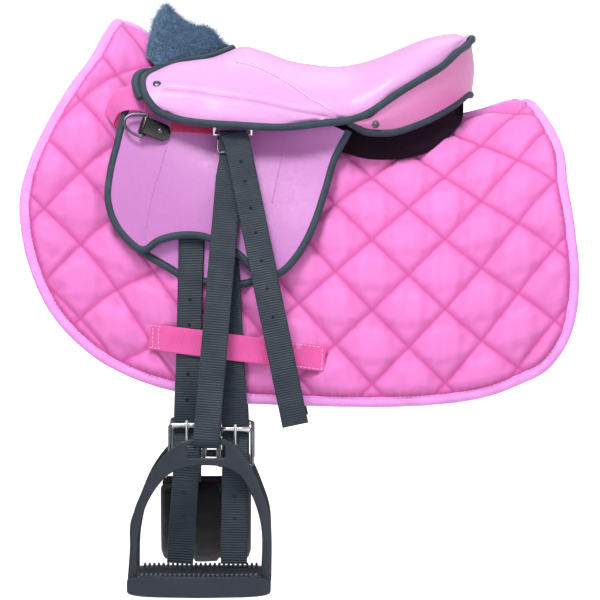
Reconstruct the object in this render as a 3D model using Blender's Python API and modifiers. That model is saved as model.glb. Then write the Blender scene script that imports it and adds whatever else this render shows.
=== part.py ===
"""Small pony saddle on a quilted saddle pad, with girth, stirrup leathers and stirrups.

Metres, +Z up. The pony's head points to -X and its left side faces -Y. The origin is where the
middle of the saddle rests on the pony's back, under the pad. Every piece follows the pony's body,
whose cross sections are half ellipses above the widest level and flatter ones below it. A place on
a piece is given along X, in height, and in lift: how far it stands off the pony.
"""

import math

import bmesh
import bpy
import numpy as np
from mathutils import Matrix, Vector

# The pony that the pieces lie on
BARREL_HALF_WIDTH = 0.178
BARREL_WIDEST_DROP = 0.300
BELLY_DEPTH = 0.105
WITHER_RISE = 0.090
# Rows of: place along the back as a share of the pad's length, then the share of the size.
BACK_LINE_SHARES = [
    (-0.52, 1.12), (-0.35, 1.00), (-0.286, 0.745), (-0.196, 0.43), (-0.089, 0.18), (0, 0),
    (0.124, -0.122), (0.205, -0.133), (0.286, -0.078), (0.338, 0.014), (0.393, 0.141), (0.481, 0.28),
]
BARREL_WIDTH_SHARES = [
    (-0.52, 0.62), (-0.35, 0.66), (-0.27, 0.725), (-0.11, 0.90), (0, 0.98), (0.15, 1.02), (0.48, 1.0),
]

# The saddle's own widths, which go with the pony's
SEAT_SIDE_SHARE = 0.7416
FLAP_HANG_SHARE = 0.833
PANEL_SIDE_SHARE = 0.682
SEAT_HALF_WIDTH = BARREL_HALF_WIDTH * SEAT_SIDE_SHARE
NOTCH_HALF_WIDTH = SEAT_HALF_WIDTH / 2
PANEL_HALF_WIDTH = SEAT_HALF_WIDTH * PANEL_SIDE_SHARE
FLAP_HANG = SEAT_HALF_WIDTH * FLAP_HANG_SHARE

# Clearances and repeated sections
GAP = 0.0003
WEB_WIDTH = 0.025
WEB_THICKNESS = 0.0018
PIPING_RADIUS = 0.0036

# Quilted pad
PAD_LENGTH = 0.532
PAD_FRONT = -0.2765
PAD_HEIGHT = 0.3735
PAD_BOTTOM = -0.2717
PAD_THICKNESS = 0.012
PAD_CHANNEL_THICKNESS = 0.0065
QUILT_CELL = 0.049
QUILT_TURN = math.radians(45)
PAD_EDGE_STATIONS = 50
BINDING_RADIUS = 0.0046
BINDING_CLEARANCE = 0.0008
SPINE_TAPE_WIDTH = 0.030
SPINE_TAPE_THICKNESS = 0.0015
SPINE_TAPE_STATIONS = 17
# The near half seen from the side: shares of the length from the front and of the height.
PAD_OUTLINE_SHARES = [
    (0.170, 1.000), (0.148, 0.952), (0.127, 0.898), (0.080, 0.802), (0.048, 0.723),
    (0.016, 0.623), (0.000, 0.529), (0.004, 0.438), (0.021, 0.341), (0.055, 0.239),
    (0.096, 0.170), (0.157, 0.104), (0.239, 0.053), (0.284, 0.036), (0.405, 0.008),
    (0.516, 0.003), (0.648, 0.000), (0.786, 0.013), (0.877, 0.048), (0.939, 0.092),
    (0.980, 0.170), (0.993, 0.229), (1.000, 0.336), (0.993, 0.458), (0.980, 0.578),
    (0.975, 0.651), (0.959, 0.707), (0.939, 0.753), (0.912, 0.794),
]

# Lifts of the layers over the pony
UNDER_FLAP_LIFT = 0.0142
UNDER_FLAP_THICKNESS = 0.0026
BILLET_LIFT = 0.0176
FLAP_LIFT = 0.0230
FLAP_THICKNESS = 0.0034
KEEPER_LIFT = 0.0211

# Flaps: how far from the middle they hang before they meet the pad
FLAP_LENGTH = 0.229
FLAP_FRONT = -0.192
FLAP_DROP = 0.1653
FLAP_BOTTOM = -0.1558
FLAP_STATIONS = 46
FLAP_HANG_BLEND = 0.012
FLAP_HANG_SHARES = [
    (-0.36, 0.70), (-0.27, 0.76), (-0.18, 0.83), (-0.09, 0.91), (0, 0.965), (0.06, 1.0), (0.5, 1.0),
]
FLAP_OUTLINE_SHARES = [
    (0.071, 1.000), (0.041, 0.822), (0.008, 0.626), (0.000, 0.483), (0.021, 0.374),
    (0.075, 0.264), (0.149, 0.195), (0.207, 0.247), (0.278, 0.276), (0.353, 0.282),
    (0.407, 0.270), (0.473, 0.230), (0.544, 0.172), (0.602, 0.086), (0.656, 0.040),
    (0.718, 0.069), (0.780, 0.155), (0.822, 0.247), (0.867, 0.391), (0.900, 0.534),
    (0.942, 0.724), (1.000, 0.879),
]
UNDER_FLAP_OUTLINE_SHARES = [
    (0.071, 0.960), (0.041, 0.822), (0.008, 0.626), (0.000, 0.483), (0.021, 0.374),
    (0.075, 0.264), (0.145, 0.178), (0.241, 0.098), (0.332, 0.029), (0.448, 0.006),
    (0.564, 0.000), (0.614, 0.017), (0.718, 0.069), (0.780, 0.155), (0.822, 0.247),
    (0.867, 0.391), (0.900, 0.534), (0.942, 0.724), (0.985, 0.860),
]
FLAP_TOP_SHARES = [(0.900, 0.930), (0.700, 0.954), (0.300, 0.954), (0.150, 0.985)]
UNDER_FLAP_INSET = 0.004

# Seat
SEAT_LENGTH = 0.3126
SEAT_FRONT = -0.1596
SEAT_HEIGHT = 0.0893
SEAT_BOTTOM = -0.0076
SEAT_THICKNESS = 0.0042
POMMEL_BULGE = 0.014
POMMEL_BULGE_REACH = 0.035
SEAT_ROW_SHARES = [
    0.060, 0.085, 0.120, 0.160, 0.205, 0.250, 0.299, 0.350, 0.410, 0.480, 0.550, 0.615,
    0.675, 0.735, 0.795, 0.850, 0.895, 0.932, 0.962, 0.990,
]
SEAT_CREST_SHARES = [
    (0.046, 0.585), (0.094, 0.680), (0.152, 0.713), (0.210, 0.745), (0.261, 0.809),
    (0.299, 0.862), (0.374, 0.809), (0.447, 0.713), (0.520, 0.670), (0.581, 0.649),
    (0.644, 0.670), (0.720, 0.745), (0.793, 0.851), (0.866, 0.947), (0.927, 0.990),
    (0.964, 0.990), (0.991, 0.950),
]
SEAT_EDGE_SHARES = [
    (0.046, 0.165), (0.116, 0.085), (0.204, 0.043), (0.313, 0.021), (0.416, 0.000),
    (0.498, 0.021), (0.581, 0.064), (0.638, 0.075), (0.684, 0.149), (0.757, 0.330),
    (0.830, 0.489), (0.903, 0.638), (0.936, 0.734), (0.964, 0.830), (0.991, 0.915),
]
SEAT_WIDTH_SHARES = [
    (0.046, 0.856), (0.116, 0.894), (0.204, 0.985), (0.300, 1.000), (0.446, 0.985),
    (0.581, 0.932), (0.641, 0.900), (0.717, 0.865), (0.792, 0.800), (0.866, 0.690),
    (0.926, 0.525), (0.964, 0.356), (0.991, 0.155),
]
NOTCH_WIDTH_SHARES = [
    (0.046, 1.00), (0.094, 0.85), (0.152, 0.72), (0.210, 0.55), (0.261, 0.32), (0.299, 0.0),
]
SEAT_ROUNDNESS_SHARES = [(0.046, 1.7), (0.300, 1.7), (0.580, 1.9), (0.800, 2.2), (0.991, 2.3)]
SEAT_COLUMNS = 7
SEAT_PIPING_STATIONS = 56
SEAT_PIPING_CLEARANCE = 0.0018

# Cantle facing: lower edge, from its near tip round to the middle of the back
FACING_THICKNESS = 0.003
FACING_TUCK = 0.003
FACING_CLEARANCE = 0.0022
FACING_LOW_SHARES = [
    (0.690, -0.050), (0.757, -0.053), (0.830, 0.021), (0.903, 0.138), (0.950, 0.235), (0.991, 0.345),
]
FACING_STATIONS = 12

# Tree and panels
TREE_THICKNESS = 0.005
TREE_DEPTH = 0.0145
TREE_REACH_SHARE = 0.72
TREE_NOTCH_MARGIN = 0.016
PANEL_DEPTH = 0.0185
PANEL_GULLET = 0.024
PANEL_NOTCH_MARGIN = 0.014
PANEL_CROWN = 0.003
PANEL_FACING_MARGIN = 0.0125
PANEL_FOOT_SPREAD = 0.007
PANEL_CLEARANCE = 0.0010
PANEL_ROW_SHARES = [0.11, 0.19, 0.28, 0.37, 0.46, 0.55, 0.64, 0.73, 0.81, 0.88, 0.935, 0.968]
PANEL_WIDTH_SHARES = [
    (0.11, 0.91), (0.19, 0.90), (0.28, 0.90), (0.50, 0.99), (0.70, 1.0), (0.83, 0.95), (0.90, 0.84),
    (0.935, 0.68), (0.968, 0.43),
]

# Pommel fleece: how high it rises over the pad and how wide its foot is, from its front to its rear
FLEECE_FRONT_SHARE = 0.0515
FLEECE_REAR_SHARE = 0.262
FLEECE_SIDE_REACH_SHARE = 0.043
FLEECE_HEIGHT = 0.0375
FLEECE_SLOPE_POWER = 0.9
FLEECE_STATIONS = 12
FLEECE_CLEARANCE = 0.0021
FLEECE_RISE_SHARES = [
    (0, 0.62), (0.09, 0.98), (0.18, 0.93), (0.40, 0.83), (0.54, 0.88), (0.66, 0.97), (0.80, 0.93),
    (0.90, 0.76), (1, 0.72),
]
FLEECE_FOOT_SHARES = [
    (0, 0.74), (0.13, 0.80), (0.27, 0.74), (0.42, 0.63), (0.57, 0.55), (0.73, 0.42), (0.85, 0.30),
    (1, 0.14),
]

# Hardware under the skirts
BAR_RADIUS = 0.0022
BAR_DROP = 0.014
BAR_LIFT = 0.033
BAR_CENTRE = -0.0735
BAR_ARM_SPREAD = 0.0175
BAR_ARM_TOP = 0.006
STUD_RADIUS = 0.0040
STUD_HEIGHT = 0.0028
# Along the seat, and from the notch to the skirt's edge
STUD_FRONT_SHARES = (0.0766, 0.5515)
STUD_REAR_HEIGHT_SHARE = 0.38
STUD_REAR_CLEARANCE = 0.0003
DEE_WIRE_RADIUS = 0.0014
DEE_HALF_LENGTH = 0.0115
DEE_REACH = 0.020
DEE_TILT = math.radians(17)
DEE_PLACE = (-0.1575, -0.006)
DEE_TAB_WIDTH = 0.017
DEE_TAB_LENGTH = 0.025
DEE_TAB_THICKNESS = 0.0026
DEE_LIFT = 0.0326
DEE_TAB_END_LIFT = 0.0272
RIVET_RADIUS = 0.0026
RIVET_HEIGHT = 0.0012

# Billets, girth and its buckles
BILLET_THICKNESS = 0.0026
BUCKLE_PLACES = {"front": (-0.117, -0.290), "rear": (-0.071, -0.2935)}
BILLET_TOPS = {"front": (-0.1125, -0.105), "rear": (-0.081, -0.105)}
BILLET_ENDS = {"front": (-0.1235, -0.421), "rear": (-0.0722, -0.421)}
BUCKLE_INSIDE_WIDTH = 0.0285
BUCKLE_HEIGHT = 0.034
BUCKLE_WIRE_RADIUS = 0.0018
BUCKLE_LIFT = 0.0195
ROLLER_RADIUS = 0.0029
TONGUE_RADIUS = 0.0013
HOLE_SHARE = 0.56
HOLE_HALF_HEIGHT = 0.0073
GIRTH_LOOP_LENGTH = 0.010
BILLET_HOLE_RADIUS = 0.0026
GIRTH_WIDTH = 0.0855
GIRTH_CENTRE = -0.0993
GIRTH_TOP = -0.3440
GIRTH_THICKNESS = 0.012
GIRTH_LIFT = 0.0045
GIRTH_STATIONS = 25
# Half of the girth's section: place across it as a share, then the share of the thickness
GIRTH_EDGE_SHARES = [(0.86, 1), (0.97, 0.62), (1, 0)]
GIRTH_RIDGE_SHARES = [0.6, 1.0, 1.15]
GIRTH_RIDGE_WIDTH = 0.025
GIRTH_RIDGE_HEIGHT = 0.0022
GIRTH_WEB_LIFT = 0.0020

# Stirrup leather
LEATHER_EYE = (-0.0985, -0.3041)
LEATHER_EYE_LIFT = 0.0336
LEATHER_BUCKLE_DROP = 0.005
LEATHER_BUCKLE_HEIGHT = 0.017
LEATHER_BUCKLE_STAND = 0.005
LEATHER_BUCKLE_RADIUS = 0.0010
LEATHER_TONGUE_RADIUS = 0.0009
TAIL_START = -0.0655
TAIL_END = (-0.0138, -0.289)
TAIL_LIFT_LOW = 0.031

# Stirrup
IRON_WIDTH = 0.1368
IRON_HEIGHT = 0.151
IRON_FRONT = -0.1738
IRON_BOTTOM = -0.453
IRON_DEPTH = 0.011
TREAD_DEPTH = 0.042
TREAD_THICKNESS = 0.021
TREAD_RIB_HEIGHT = 0.0022
TREAD_RIBS = 13
TREAD_RIB_SHARE = 0.25
TREAD_RIB_REACH_SHARE = 0.8
TREAD_END_SHARE = 0.08
TREAD_ROUNDING_SHARE = 0.28
EYE_HALF_WIDTH = 0.018
EYE_HEIGHT = 0.0125
EYE_RIM_HALF_HEIGHT = 0.0037
EYE_RIM_HALF_DEPTH = 0.0040
IRON_OUTSIDE_SHARES = [
    (0.000, 0.057), (0.021, 0.308), (0.028, 0.484), (0.076, 0.597), (0.174, 0.792), (0.271, 0.906),
    (0.368, 0.975), (0.465, 1.000), (0.674, 1.000), (0.778, 0.943), (0.854, 0.836), (0.931, 0.679),
    (0.986, 0.528), (1.000, 0.352), (1.000, 0.057),
]
IRON_INSIDE_SHARES = [
    (0.069, 0.120), (0.083, 0.396), (0.132, 0.572), (0.222, 0.711), (0.299, 0.780), (0.431, 0.824),
    (0.562, 0.833), (0.688, 0.818), (0.785, 0.767), (0.868, 0.642), (0.924, 0.484), (0.931, 0.120),
]

# Pad's own straps
KEEPER_FRONT = (-0.152, -0.206)
KEEPER_REAR = (0.0143, -0.2265)
FRONT_STRAP_WIDTH = 0.021
FRONT_STRAP_THICKNESS = 0.002
# Place along the back, height and lift of each point
FRONT_STRAP_ROUTE = [
    (-0.194, -0.004, 0.0150), (-0.188, 0.0120, 0.0272), (-0.180, 0.0192, 0.0342),
    (-0.171, 0.0205, 0.0325),
    (-0.163, 0.014, 0.0295), (-0.158, 0.005, 0.0264), (-0.1555, -0.003, 0.0264),
]

OVERRUN = 0.01


# Materials: colour, roughness, metallic
COLOURS = {
    "pink_quilt": ((0.90, 0.19, 0.60), 0.75, 0.0),
    "light_pink_binding": ((0.97, 0.34, 0.95), 0.7, 0.0),
    "hot_pink_web": ((1.0, 0.09, 0.40), 0.6, 0.0),
    "lilac_leather": ((0.84, 0.48, 0.86), 0.45, 0.0),
    "pink_leather": ((0.80, 0.36, 0.72), 0.45, 0.0),
    "slate_piping": ((0.035, 0.055, 0.07), 0.4, 0.0),
    "black_web": ((0.033, 0.045, 0.065), 0.6, 0.0),
    "plum_cloth": ((0.025, 0.006, 0.025), 0.9, 0.0),
    "blue_grey_fleece": ((0.10, 0.16, 0.24), 0.95, 0.0),
    "black_padding": ((0.007, 0.008, 0.011), 0.8, 0.0),
    "black_composite": ((0.02, 0.026, 0.036), 0.5, 0.0),
    "black_leather": ((0.008, 0.008, 0.010), 0.4, 0.0),
    "dark_steel": ((0.12, 0.13, 0.15), 0.3, 1.0),
    "bright_steel": ((0.75, 0.76, 0.78), 0.2, 1.0),
}


def clear_scene():
    for old in list(bpy.data.objects):
        bpy.data.objects.remove(old, do_unlink=True)


def make_collection(name):
    collection = bpy.data.collections.new(name)
    bpy.context.scene.collection.children.link(collection)
    return collection


def make_material(name, colour, roughness, metallic):
    material = bpy.data.materials.new(name)
    material.use_nodes = True
    shader = material.node_tree.nodes["Principled BSDF"]
    shader.inputs["Base Color"].default_value = (*colour, 1)
    shader.inputs["Roughness"].default_value = roughness
    shader.inputs["Metallic"].default_value = metallic
    material.diffuse_color = (*colour, 1)
    return material


# Curves and tables


def smooth(table, at):
    """Value of the smooth curve through a table's (place, value) rows."""
    places, values = np.array(table, float).T
    slopes = np.gradient(values, places)
    at = np.clip(at, places[0], places[-1])
    row = np.clip(np.searchsorted(places, at, side="right") - 1, 0, len(places) - 2)
    step = places[row + 1] - places[row]
    t = (at - places[row]) / step
    rise = 3 * t**2 - 2 * t**3
    bend = step * (slopes[row] * (t**3 - 2 * t**2 + t) + slopes[row + 1] * (t**3 - t**2))
    return values[row] * (1 - rise) + values[row + 1] * rise + bend


def through(points, count, closed=False):
    """Evenly spaced points along the smooth curve through the given ones."""
    points = np.array(points, float)
    if closed:
        points = np.vstack([points[-2:], points, points[:3]])
    reach = np.concatenate([[0], np.cumsum(np.linalg.norm(np.diff(points, axis=0), axis=1))])
    start, end = (reach[2], reach[-3]) if closed else (0, reach[-1])
    at = np.linspace(start, end, count, endpoint=not closed)
    return np.column_stack([smooth(np.column_stack([reach, axis]), at) for axis in points.T])


def scaled(shares, front, length, bottom, height):
    """Side-view outline in metres from its shares."""
    return [(front + length * u, bottom + height * v) for u, v in shares]


def inset(points, distance, closed=True):
    """A flat outline, counter-clockwise or clockwise, moved inwards."""
    points = np.array(points, float)
    ahead = np.roll(points, -1, axis=0)
    behind = np.roll(points, 1, axis=0)
    if not closed:
        ahead[-1] = points[-1]
        behind[0] = points[0]
    area = np.sum(points[:, 0] * np.roll(points[:, 1], -1) - points[:, 1] * np.roll(points[:, 0], -1))
    along = ahead - behind
    along /= np.linalg.norm(along, axis=1)[:, None]
    inwards = np.column_stack([-along[:, 1], along[:, 0]]) * math.copysign(1, area)
    return points + inwards * distance


def reaching(end, inside, level):
    """Where the line from an inside point through the end one comes to a level."""
    share = (level - end[1]) / (end[1] - inside[1])
    return (end[0] + (end[0] - inside[0]) * share, level)


# The pony's body


def half_width(x):
    return BARREL_HALF_WIDTH * smooth(BARREL_WIDTH_SHARES, x / PAD_LENGTH)


def back_height(x):
    return WITHER_RISE * smooth(BACK_LINE_SHARES, x / PAD_LENGTH)


def body_side(x, z, lift):
    """Distance from the middle of the layer at this height above the widest level or below it."""
    tall = np.where(z > -BARREL_WIDEST_DROP, back_height(x) + BARREL_WIDEST_DROP, BELLY_DEPTH) + lift
    share = np.clip((z + BARREL_WIDEST_DROP) / tall, -1, 1)
    return (half_width(x) + lift) * np.sqrt(1 - share**2)


def body_top(x, y, lift):
    """Height of the layer at this distance from the middle."""
    tall = back_height(x) + BARREL_WIDEST_DROP + lift
    return tall * np.sqrt(np.clip(1 - (y / (half_width(x) + lift)) ** 2, 0, 1)) - BARREL_WIDEST_DROP


def hang_side(x, z, lift):
    """The same for a piece that hangs from the saddle till it meets the body's curve."""
    lying = body_side(x, z, lift)
    hanging = FLAP_HANG * smooth(FLAP_HANG_SHARES, x / PAD_LENGTH) + lift - FLAP_LIFT
    return (lying + hanging + np.sqrt((lying - hanging) ** 2 + FLAP_HANG_BLEND**2)) / 2


def near(x, z, lift, side=body_side):
    """Point on the pony's left, which faces -Y."""
    return (x, -float(side(x, z, lift)), z)


def plumb_side(x, z, lift):
    """Below the widest level, straight down."""
    return hang_side(x, max(z, -BARREL_WIDEST_DROP), lift)


def level_side(x, z, lift, side=body_side):
    """The direction along the body's surface that is level at this point."""
    ahead = np.array(near(x + GAP, z, lift, side))
    behind = np.array(near(x - GAP, z, lift, side))
    return (ahead - behind) / np.linalg.norm(ahead - behind)


def outward(x, z, lift, side=body_side):
    """The direction square to the body's surface at this point."""
    above = np.array(near(x, z + GAP, lift, side))
    below = np.array(near(x, z - GAP, lift, side))
    square = np.cross(level_side(x, z, lift, side), above - below)
    return square / np.linalg.norm(square)


ARC_ANGLES = np.linspace(0, math.pi / 2, 181)


def arc_reach(x):
    """Distance along the cross section at each of the angles from the top."""
    wide = half_width(x)
    tall = back_height(x) + BARREL_WIDEST_DROP
    rate = np.hypot(wide * np.cos(ARC_ANGLES), tall * np.sin(ARC_ANGLES))
    steps = (rate[1:] + rate[:-1]) / 2 * np.diff(ARC_ANGLES)
    return np.concatenate([[0], np.cumsum(steps)])


def unrolled(x, z):
    """Distance down the side of the body, from the middle of the back, of this height."""
    share = (z + BARREL_WIDEST_DROP) / (back_height(x) + BARREL_WIDEST_DROP)
    return float(np.interp(math.acos(min(1, max(-1, share))), ARC_ANGLES, arc_reach(x)))


def draped(x, down, lift):
    """Where a flat pattern's point lies on the pony's left side."""
    angle = float(np.interp(down, arc_reach(x), ARC_ANGLES))
    wide = half_width(x) + lift
    tall = back_height(x) + BARREL_WIDEST_DROP + lift
    return (x, -wide * math.sin(angle), tall * math.cos(angle) - BARREL_WIDEST_DROP)


# Mesh tools


def link(name, mesh, material=None):
    obj = bpy.data.objects.new(name, mesh)
    parts.objects.link(obj)
    if material:
        mesh.materials.clear()
        mesh.materials.append(materials[material])
    return obj


def baked(obj, name=None):
    """The object's evaluated mesh as a plain mesh object, in world space."""
    bpy.context.view_layer.update()
    graph = bpy.context.evaluated_depsgraph_get()
    mesh = bpy.data.meshes.new_from_object(obj.evaluated_get(graph))
    mesh.transform(obj.matrix_world)
    name = name or obj.name
    bpy.data.objects.remove(obj, do_unlink=True)
    work = bmesh.new()
    work.from_mesh(mesh)
    bmesh.ops.remove_doubles(work, verts=work.verts, dist=WELD)
    bmesh.ops.recalc_face_normals(work, faces=work.faces)
    work.to_mesh(mesh)
    work.free()
    mesh.name = name
    result = bpy.data.objects.new(name, mesh)
    parts.objects.link(result)
    return result


def surface(name, rows, material):
    """An open surface through a grid of points."""
    rows = np.array(rows, float)
    high, wide = rows.shape[:2]
    faces = [
        (r * wide + c, r * wide + c + 1, (r + 1) * wide + c + 1, (r + 1) * wide + c)
        for r in range(high - 1)
        for c in range(wide - 1)
    ]
    mesh = bpy.data.meshes.new(name)
    mesh.from_pydata(rows.reshape(-1, 3).tolist(), [], faces)
    return link(name, mesh, material)


def face_out(work):
    """Turns the faces of a closed mesh outwards."""
    bmesh.ops.recalc_face_normals(work, faces=work.faces)
    if work.calc_volume(signed=True) < 0:
        bmesh.ops.reverse_faces(work, faces=work.faces)


def thickened(obj, thickness, offset=0.0):
    shell = obj.modifiers.new("thickness", "SOLIDIFY")
    shell.thickness = thickness
    shell.offset = offset
    shell.use_even_offset = True
    return obj


def mirrored_half(obj):
    mirror = obj.modifiers.new("other_half", "MIRROR")
    mirror.use_axis = (False, True, False)
    mirror.use_clip = True
    mirror.merge_threshold = WELD
    return obj


def band(name, path, side, width, thickness, material):
    """A flat strap along a path: side is the direction of its width, at all points or at each."""
    path = np.array(path, float)
    along = np.gradient(path, axis=0)
    along /= np.linalg.norm(along, axis=1)[:, None]
    side = np.broadcast_to(np.array(side, float), path.shape)
    across = side - np.sum(along * side, axis=1)[:, None] * along
    across /= np.linalg.norm(across, axis=1)[:, None]
    rows = np.stack([path - across * width / 2, path + across * width / 2], axis=1)
    return baked(thickened(surface(name, rows, material), thickness))


def tube(name, path, radius, material, closed=False, sides=2):
    """A round wire or piping along a path."""
    curve = bpy.data.curves.new(name, "CURVE")
    curve.dimensions = "3D"
    curve.bevel_depth = radius
    curve.bevel_resolution = sides
    curve.use_fill_caps = not closed
    spline = curve.splines.new("POLY")
    spline.points.add(len(path) - 1)
    spline.use_cyclic_u = closed
    for point, place in zip(spline.points, path):
        point.co = (*place, 1)
    obj = baked(link(name, curve))
    obj.data.materials.clear()
    obj.data.materials.append(materials[material])
    return obj


def solid_outline(name, outline, low, high):
    """A flat outline stood up between two heights."""
    work = bmesh.new()
    floor = work.faces.new([work.verts.new((*point, low)) for point in outline])
    raised = bmesh.ops.extrude_face_region(work, geom=[floor])
    top = [item for item in raised["geom"] if isinstance(item, bmesh.types.BMVert)]
    bmesh.ops.translate(work, verts=top, vec=(0, 0, high - low))
    bmesh.ops.recalc_face_normals(work, faces=work.faces)
    mesh = bpy.data.meshes.new(name)
    work.to_mesh(mesh)
    work.free()
    return link(name, mesh)


def boolean(obj, cutter, operation):
    """The result of joining, cutting or crossing two closed meshes."""
    change = obj.modifiers.new(operation.lower(), "BOOLEAN")
    change.operation = operation
    change.object = cutter
    result = baked(obj)
    bpy.data.objects.remove(cutter, do_unlink=True)
    return result


def lattice_solid(name, centre, reach, cell, turn, bumps, floor):
    """A slab of square cells. bumps maps a place inside the cell, from 0 to 1, to its thickness."""
    count = math.ceil(reach / cell) + 1
    work = bmesh.new()
    fine = len(bumps) - 1
    span = 2 * count * fine
    rotation = Matrix.Rotation(turn, 2)

    def corner(i, j, height):
        flat = rotation @ Vector((i / fine - count, j / fine - count)) * cell
        return work.verts.new((centre[0] + flat.x, centre[1] + flat.y, height))

    top = [[corner(i, j, bumps[i % fine][j % fine]) for j in range(span + 1)] for i in range(span + 1)]
    coarse = range(0, span + 1, fine)
    bottom = {(i, j): corner(i, j, floor) for i in coarse for j in coarse}
    for i in range(span):
        for j in range(span):
            work.faces.new((top[i][j], top[i + 1][j], top[i + 1][j + 1], top[i][j + 1]))
    for i in coarse[:-1]:
        for j in coarse[:-1]:
            square = (bottom[i, j], bottom[i, j + fine], bottom[i + fine, j + fine], bottom[i + fine, j])
            work.faces.new(square)
    for edge in (0, span):
        for i in coarse[:-1]:
            rim = [top[i + k][edge] for k in range(fine + 1)]
            work.faces.new([*rim, bottom[i + fine, edge], bottom[i, edge]])
            rim = [top[edge][i + k] for k in range(fine + 1)]
            work.faces.new([*rim, bottom[edge, i + fine], bottom[edge, i]])
    bmesh.ops.recalc_face_normals(work, faces=work.faces)
    mesh = bpy.data.meshes.new(name)
    work.to_mesh(mesh)
    work.free()
    return link(name, mesh)


def loft(name, sections, material):
    """A closed solid through rings of points, capped at both ends."""
    work = bmesh.new()
    loops = [[work.verts.new(point) for point in ring] for ring in sections]
    for ring, following in zip(loops, loops[1:]):
        for k in range(len(ring)):
            nxt = (k + 1) % len(ring)
            work.faces.new((ring[k], ring[nxt], following[nxt], following[k]))
    work.faces.new(loops[0])
    work.faces.new(loops[-1][::-1])
    bmesh.ops.recalc_face_normals(work, faces=work.faces)
    mesh = bpy.data.meshes.new(name)
    work.to_mesh(mesh)
    work.free()
    return link(name, mesh, material)


def cut_and_laid(name, lattice, outline, place, material):
    """A flat pattern cut from its slab and laid where place(x, y, thickness) puts each point."""
    low = -OVERRUN
    cutter = solid_outline(name + "_cutter", outline, low, PAD_THICKNESS + OVERRUN)
    piece = boolean(lattice, cutter, "INTERSECT")
    work = bmesh.new()
    work.from_mesh(piece.data)
    bmesh.ops.triangulate(work, faces=work.faces)
    for vert in work.verts:
        vert.co = place(*vert.co)
    face_out(work)
    work.to_mesh(piece.data)
    work.free()
    piece.name = name
    piece.data.materials.clear()
    piece.data.materials.append(materials[material])
    return piece


def cylinder(name, centre, axis, radius, depth, material, sides=16):
    bpy.ops.mesh.primitive_cylinder_add(vertices=sides, radius=radius, depth=depth)
    obj = bpy.context.object
    for collection in list(obj.users_collection):
        collection.objects.unlink(obj)
    parts.objects.link(obj)
    obj.name = name
    turn = Vector(axis).to_track_quat("Z", "Y").to_matrix().to_4x4()
    obj.matrix_world = Matrix.Translation(centre) @ turn
    obj.data.materials.append(materials[material])
    return obj


def box(name, low, high):
    work = bmesh.new()
    bmesh.ops.create_cube(work, size=1)
    for vert in work.verts:
        vert.co = [(a + b) / 2 + (b - a) * share for a, b, share in zip(low, high, vert.co)]
    mesh = bpy.data.meshes.new(name)
    work.to_mesh(mesh)
    work.free()
    return link(name, mesh)


def set_origin(obj, place):
    """Moves the object's origin to its joint's axis, with the mesh where it is."""
    obj.data.transform(Matrix.Translation(-Vector(place)))
    obj.location = place
    return obj


def other_side(obj):
    """The same piece on the pony's right."""
    copy = obj.copy()
    copy.name = obj.name.replace("left", "right")
    copy.location.y = -obj.location.y
    copy.scale.y = -1
    parts.objects.link(copy)
    return copy


WELD = GAP / 30


# Quilted pad


def pad_outline():
    return scaled(PAD_OUTLINE_SHARES, PAD_FRONT, PAD_LENGTH, PAD_BOTTOM, PAD_HEIGHT)


def pad_edge():
    """The binding's middle as a flat pattern: place along the back, and distance down the side."""
    pattern = []
    for x, z in pad_outline():
        upright = (z + BARREL_WIDEST_DROP) / (back_height(x) + BARREL_WIDEST_DROP)
        pattern.append((x, unrolled(x, z - PAD_CHANNEL_THICKNESS * upright)))
    pattern = inset(pattern, BINDING_RADIUS, closed=False)
    pattern[0][1] = 0
    pattern[-1][1] = 0
    return pattern


def make_pad():
    edge = through(pad_edge(), PAD_EDGE_STATIONS)
    trimmed = inset(edge, BINDING_RADIUS + BINDING_CLEARANCE, closed=False)
    middle = GAP / 2
    kept = [tuple(point) for point in trimmed if point[1] > middle * 2]
    inner = [reaching(kept[0], kept[1], middle), *kept, reaching(kept[-1], kept[-2], middle)]
    puff = PAD_THICKNESS
    seam = PAD_CHANNEL_THICKNESS
    bumps = [[seam] * 4, [seam, puff, puff, seam], [seam, puff, puff, seam], [seam] * 4]
    centre = (PAD_FRONT + PAD_LENGTH / 2, PAD_HEIGHT / 2)
    lattice = lattice_solid("quilt", centre, PAD_LENGTH * 0.62, QUILT_CELL, QUILT_TURN, bumps, 0)
    left = cut_and_laid("pad_quilt_left", lattice, inner, draped, "pink_quilt")
    other_side(left)

    run = [draped(x, down, PAD_CHANNEL_THICKNESS / 2) for x, down in edge]
    far = [(x, -y, z) for x, y, z in reversed(run[1:-1])]
    tube("pad_binding", run + far, BINDING_RADIUS, "light_pink_binding", closed=True, sides=1)

    front = edge[0][0] + 2 * BINDING_RADIUS
    rear = edge[-1][0] - 2 * BINDING_RADIUS
    half = SPINE_TAPE_WIDTH / 2
    lift = PAD_THICKNESS + 2 * GAP + SPINE_TAPE_THICKNESS / 2
    rows = []
    for x in np.linspace(front, rear, SPINE_TAPE_STATIONS):
        near_side = [draped(x, share * half, lift) for share in (1, 0.6, 0.2)]
        rows.append(near_side + [(x, -y, z) for x, y, z in reversed(near_side)])
    tape = surface("pad_spine_tape", rows, "light_pink_binding")
    baked(thickened(tape, SPINE_TAPE_THICKNESS))


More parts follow.
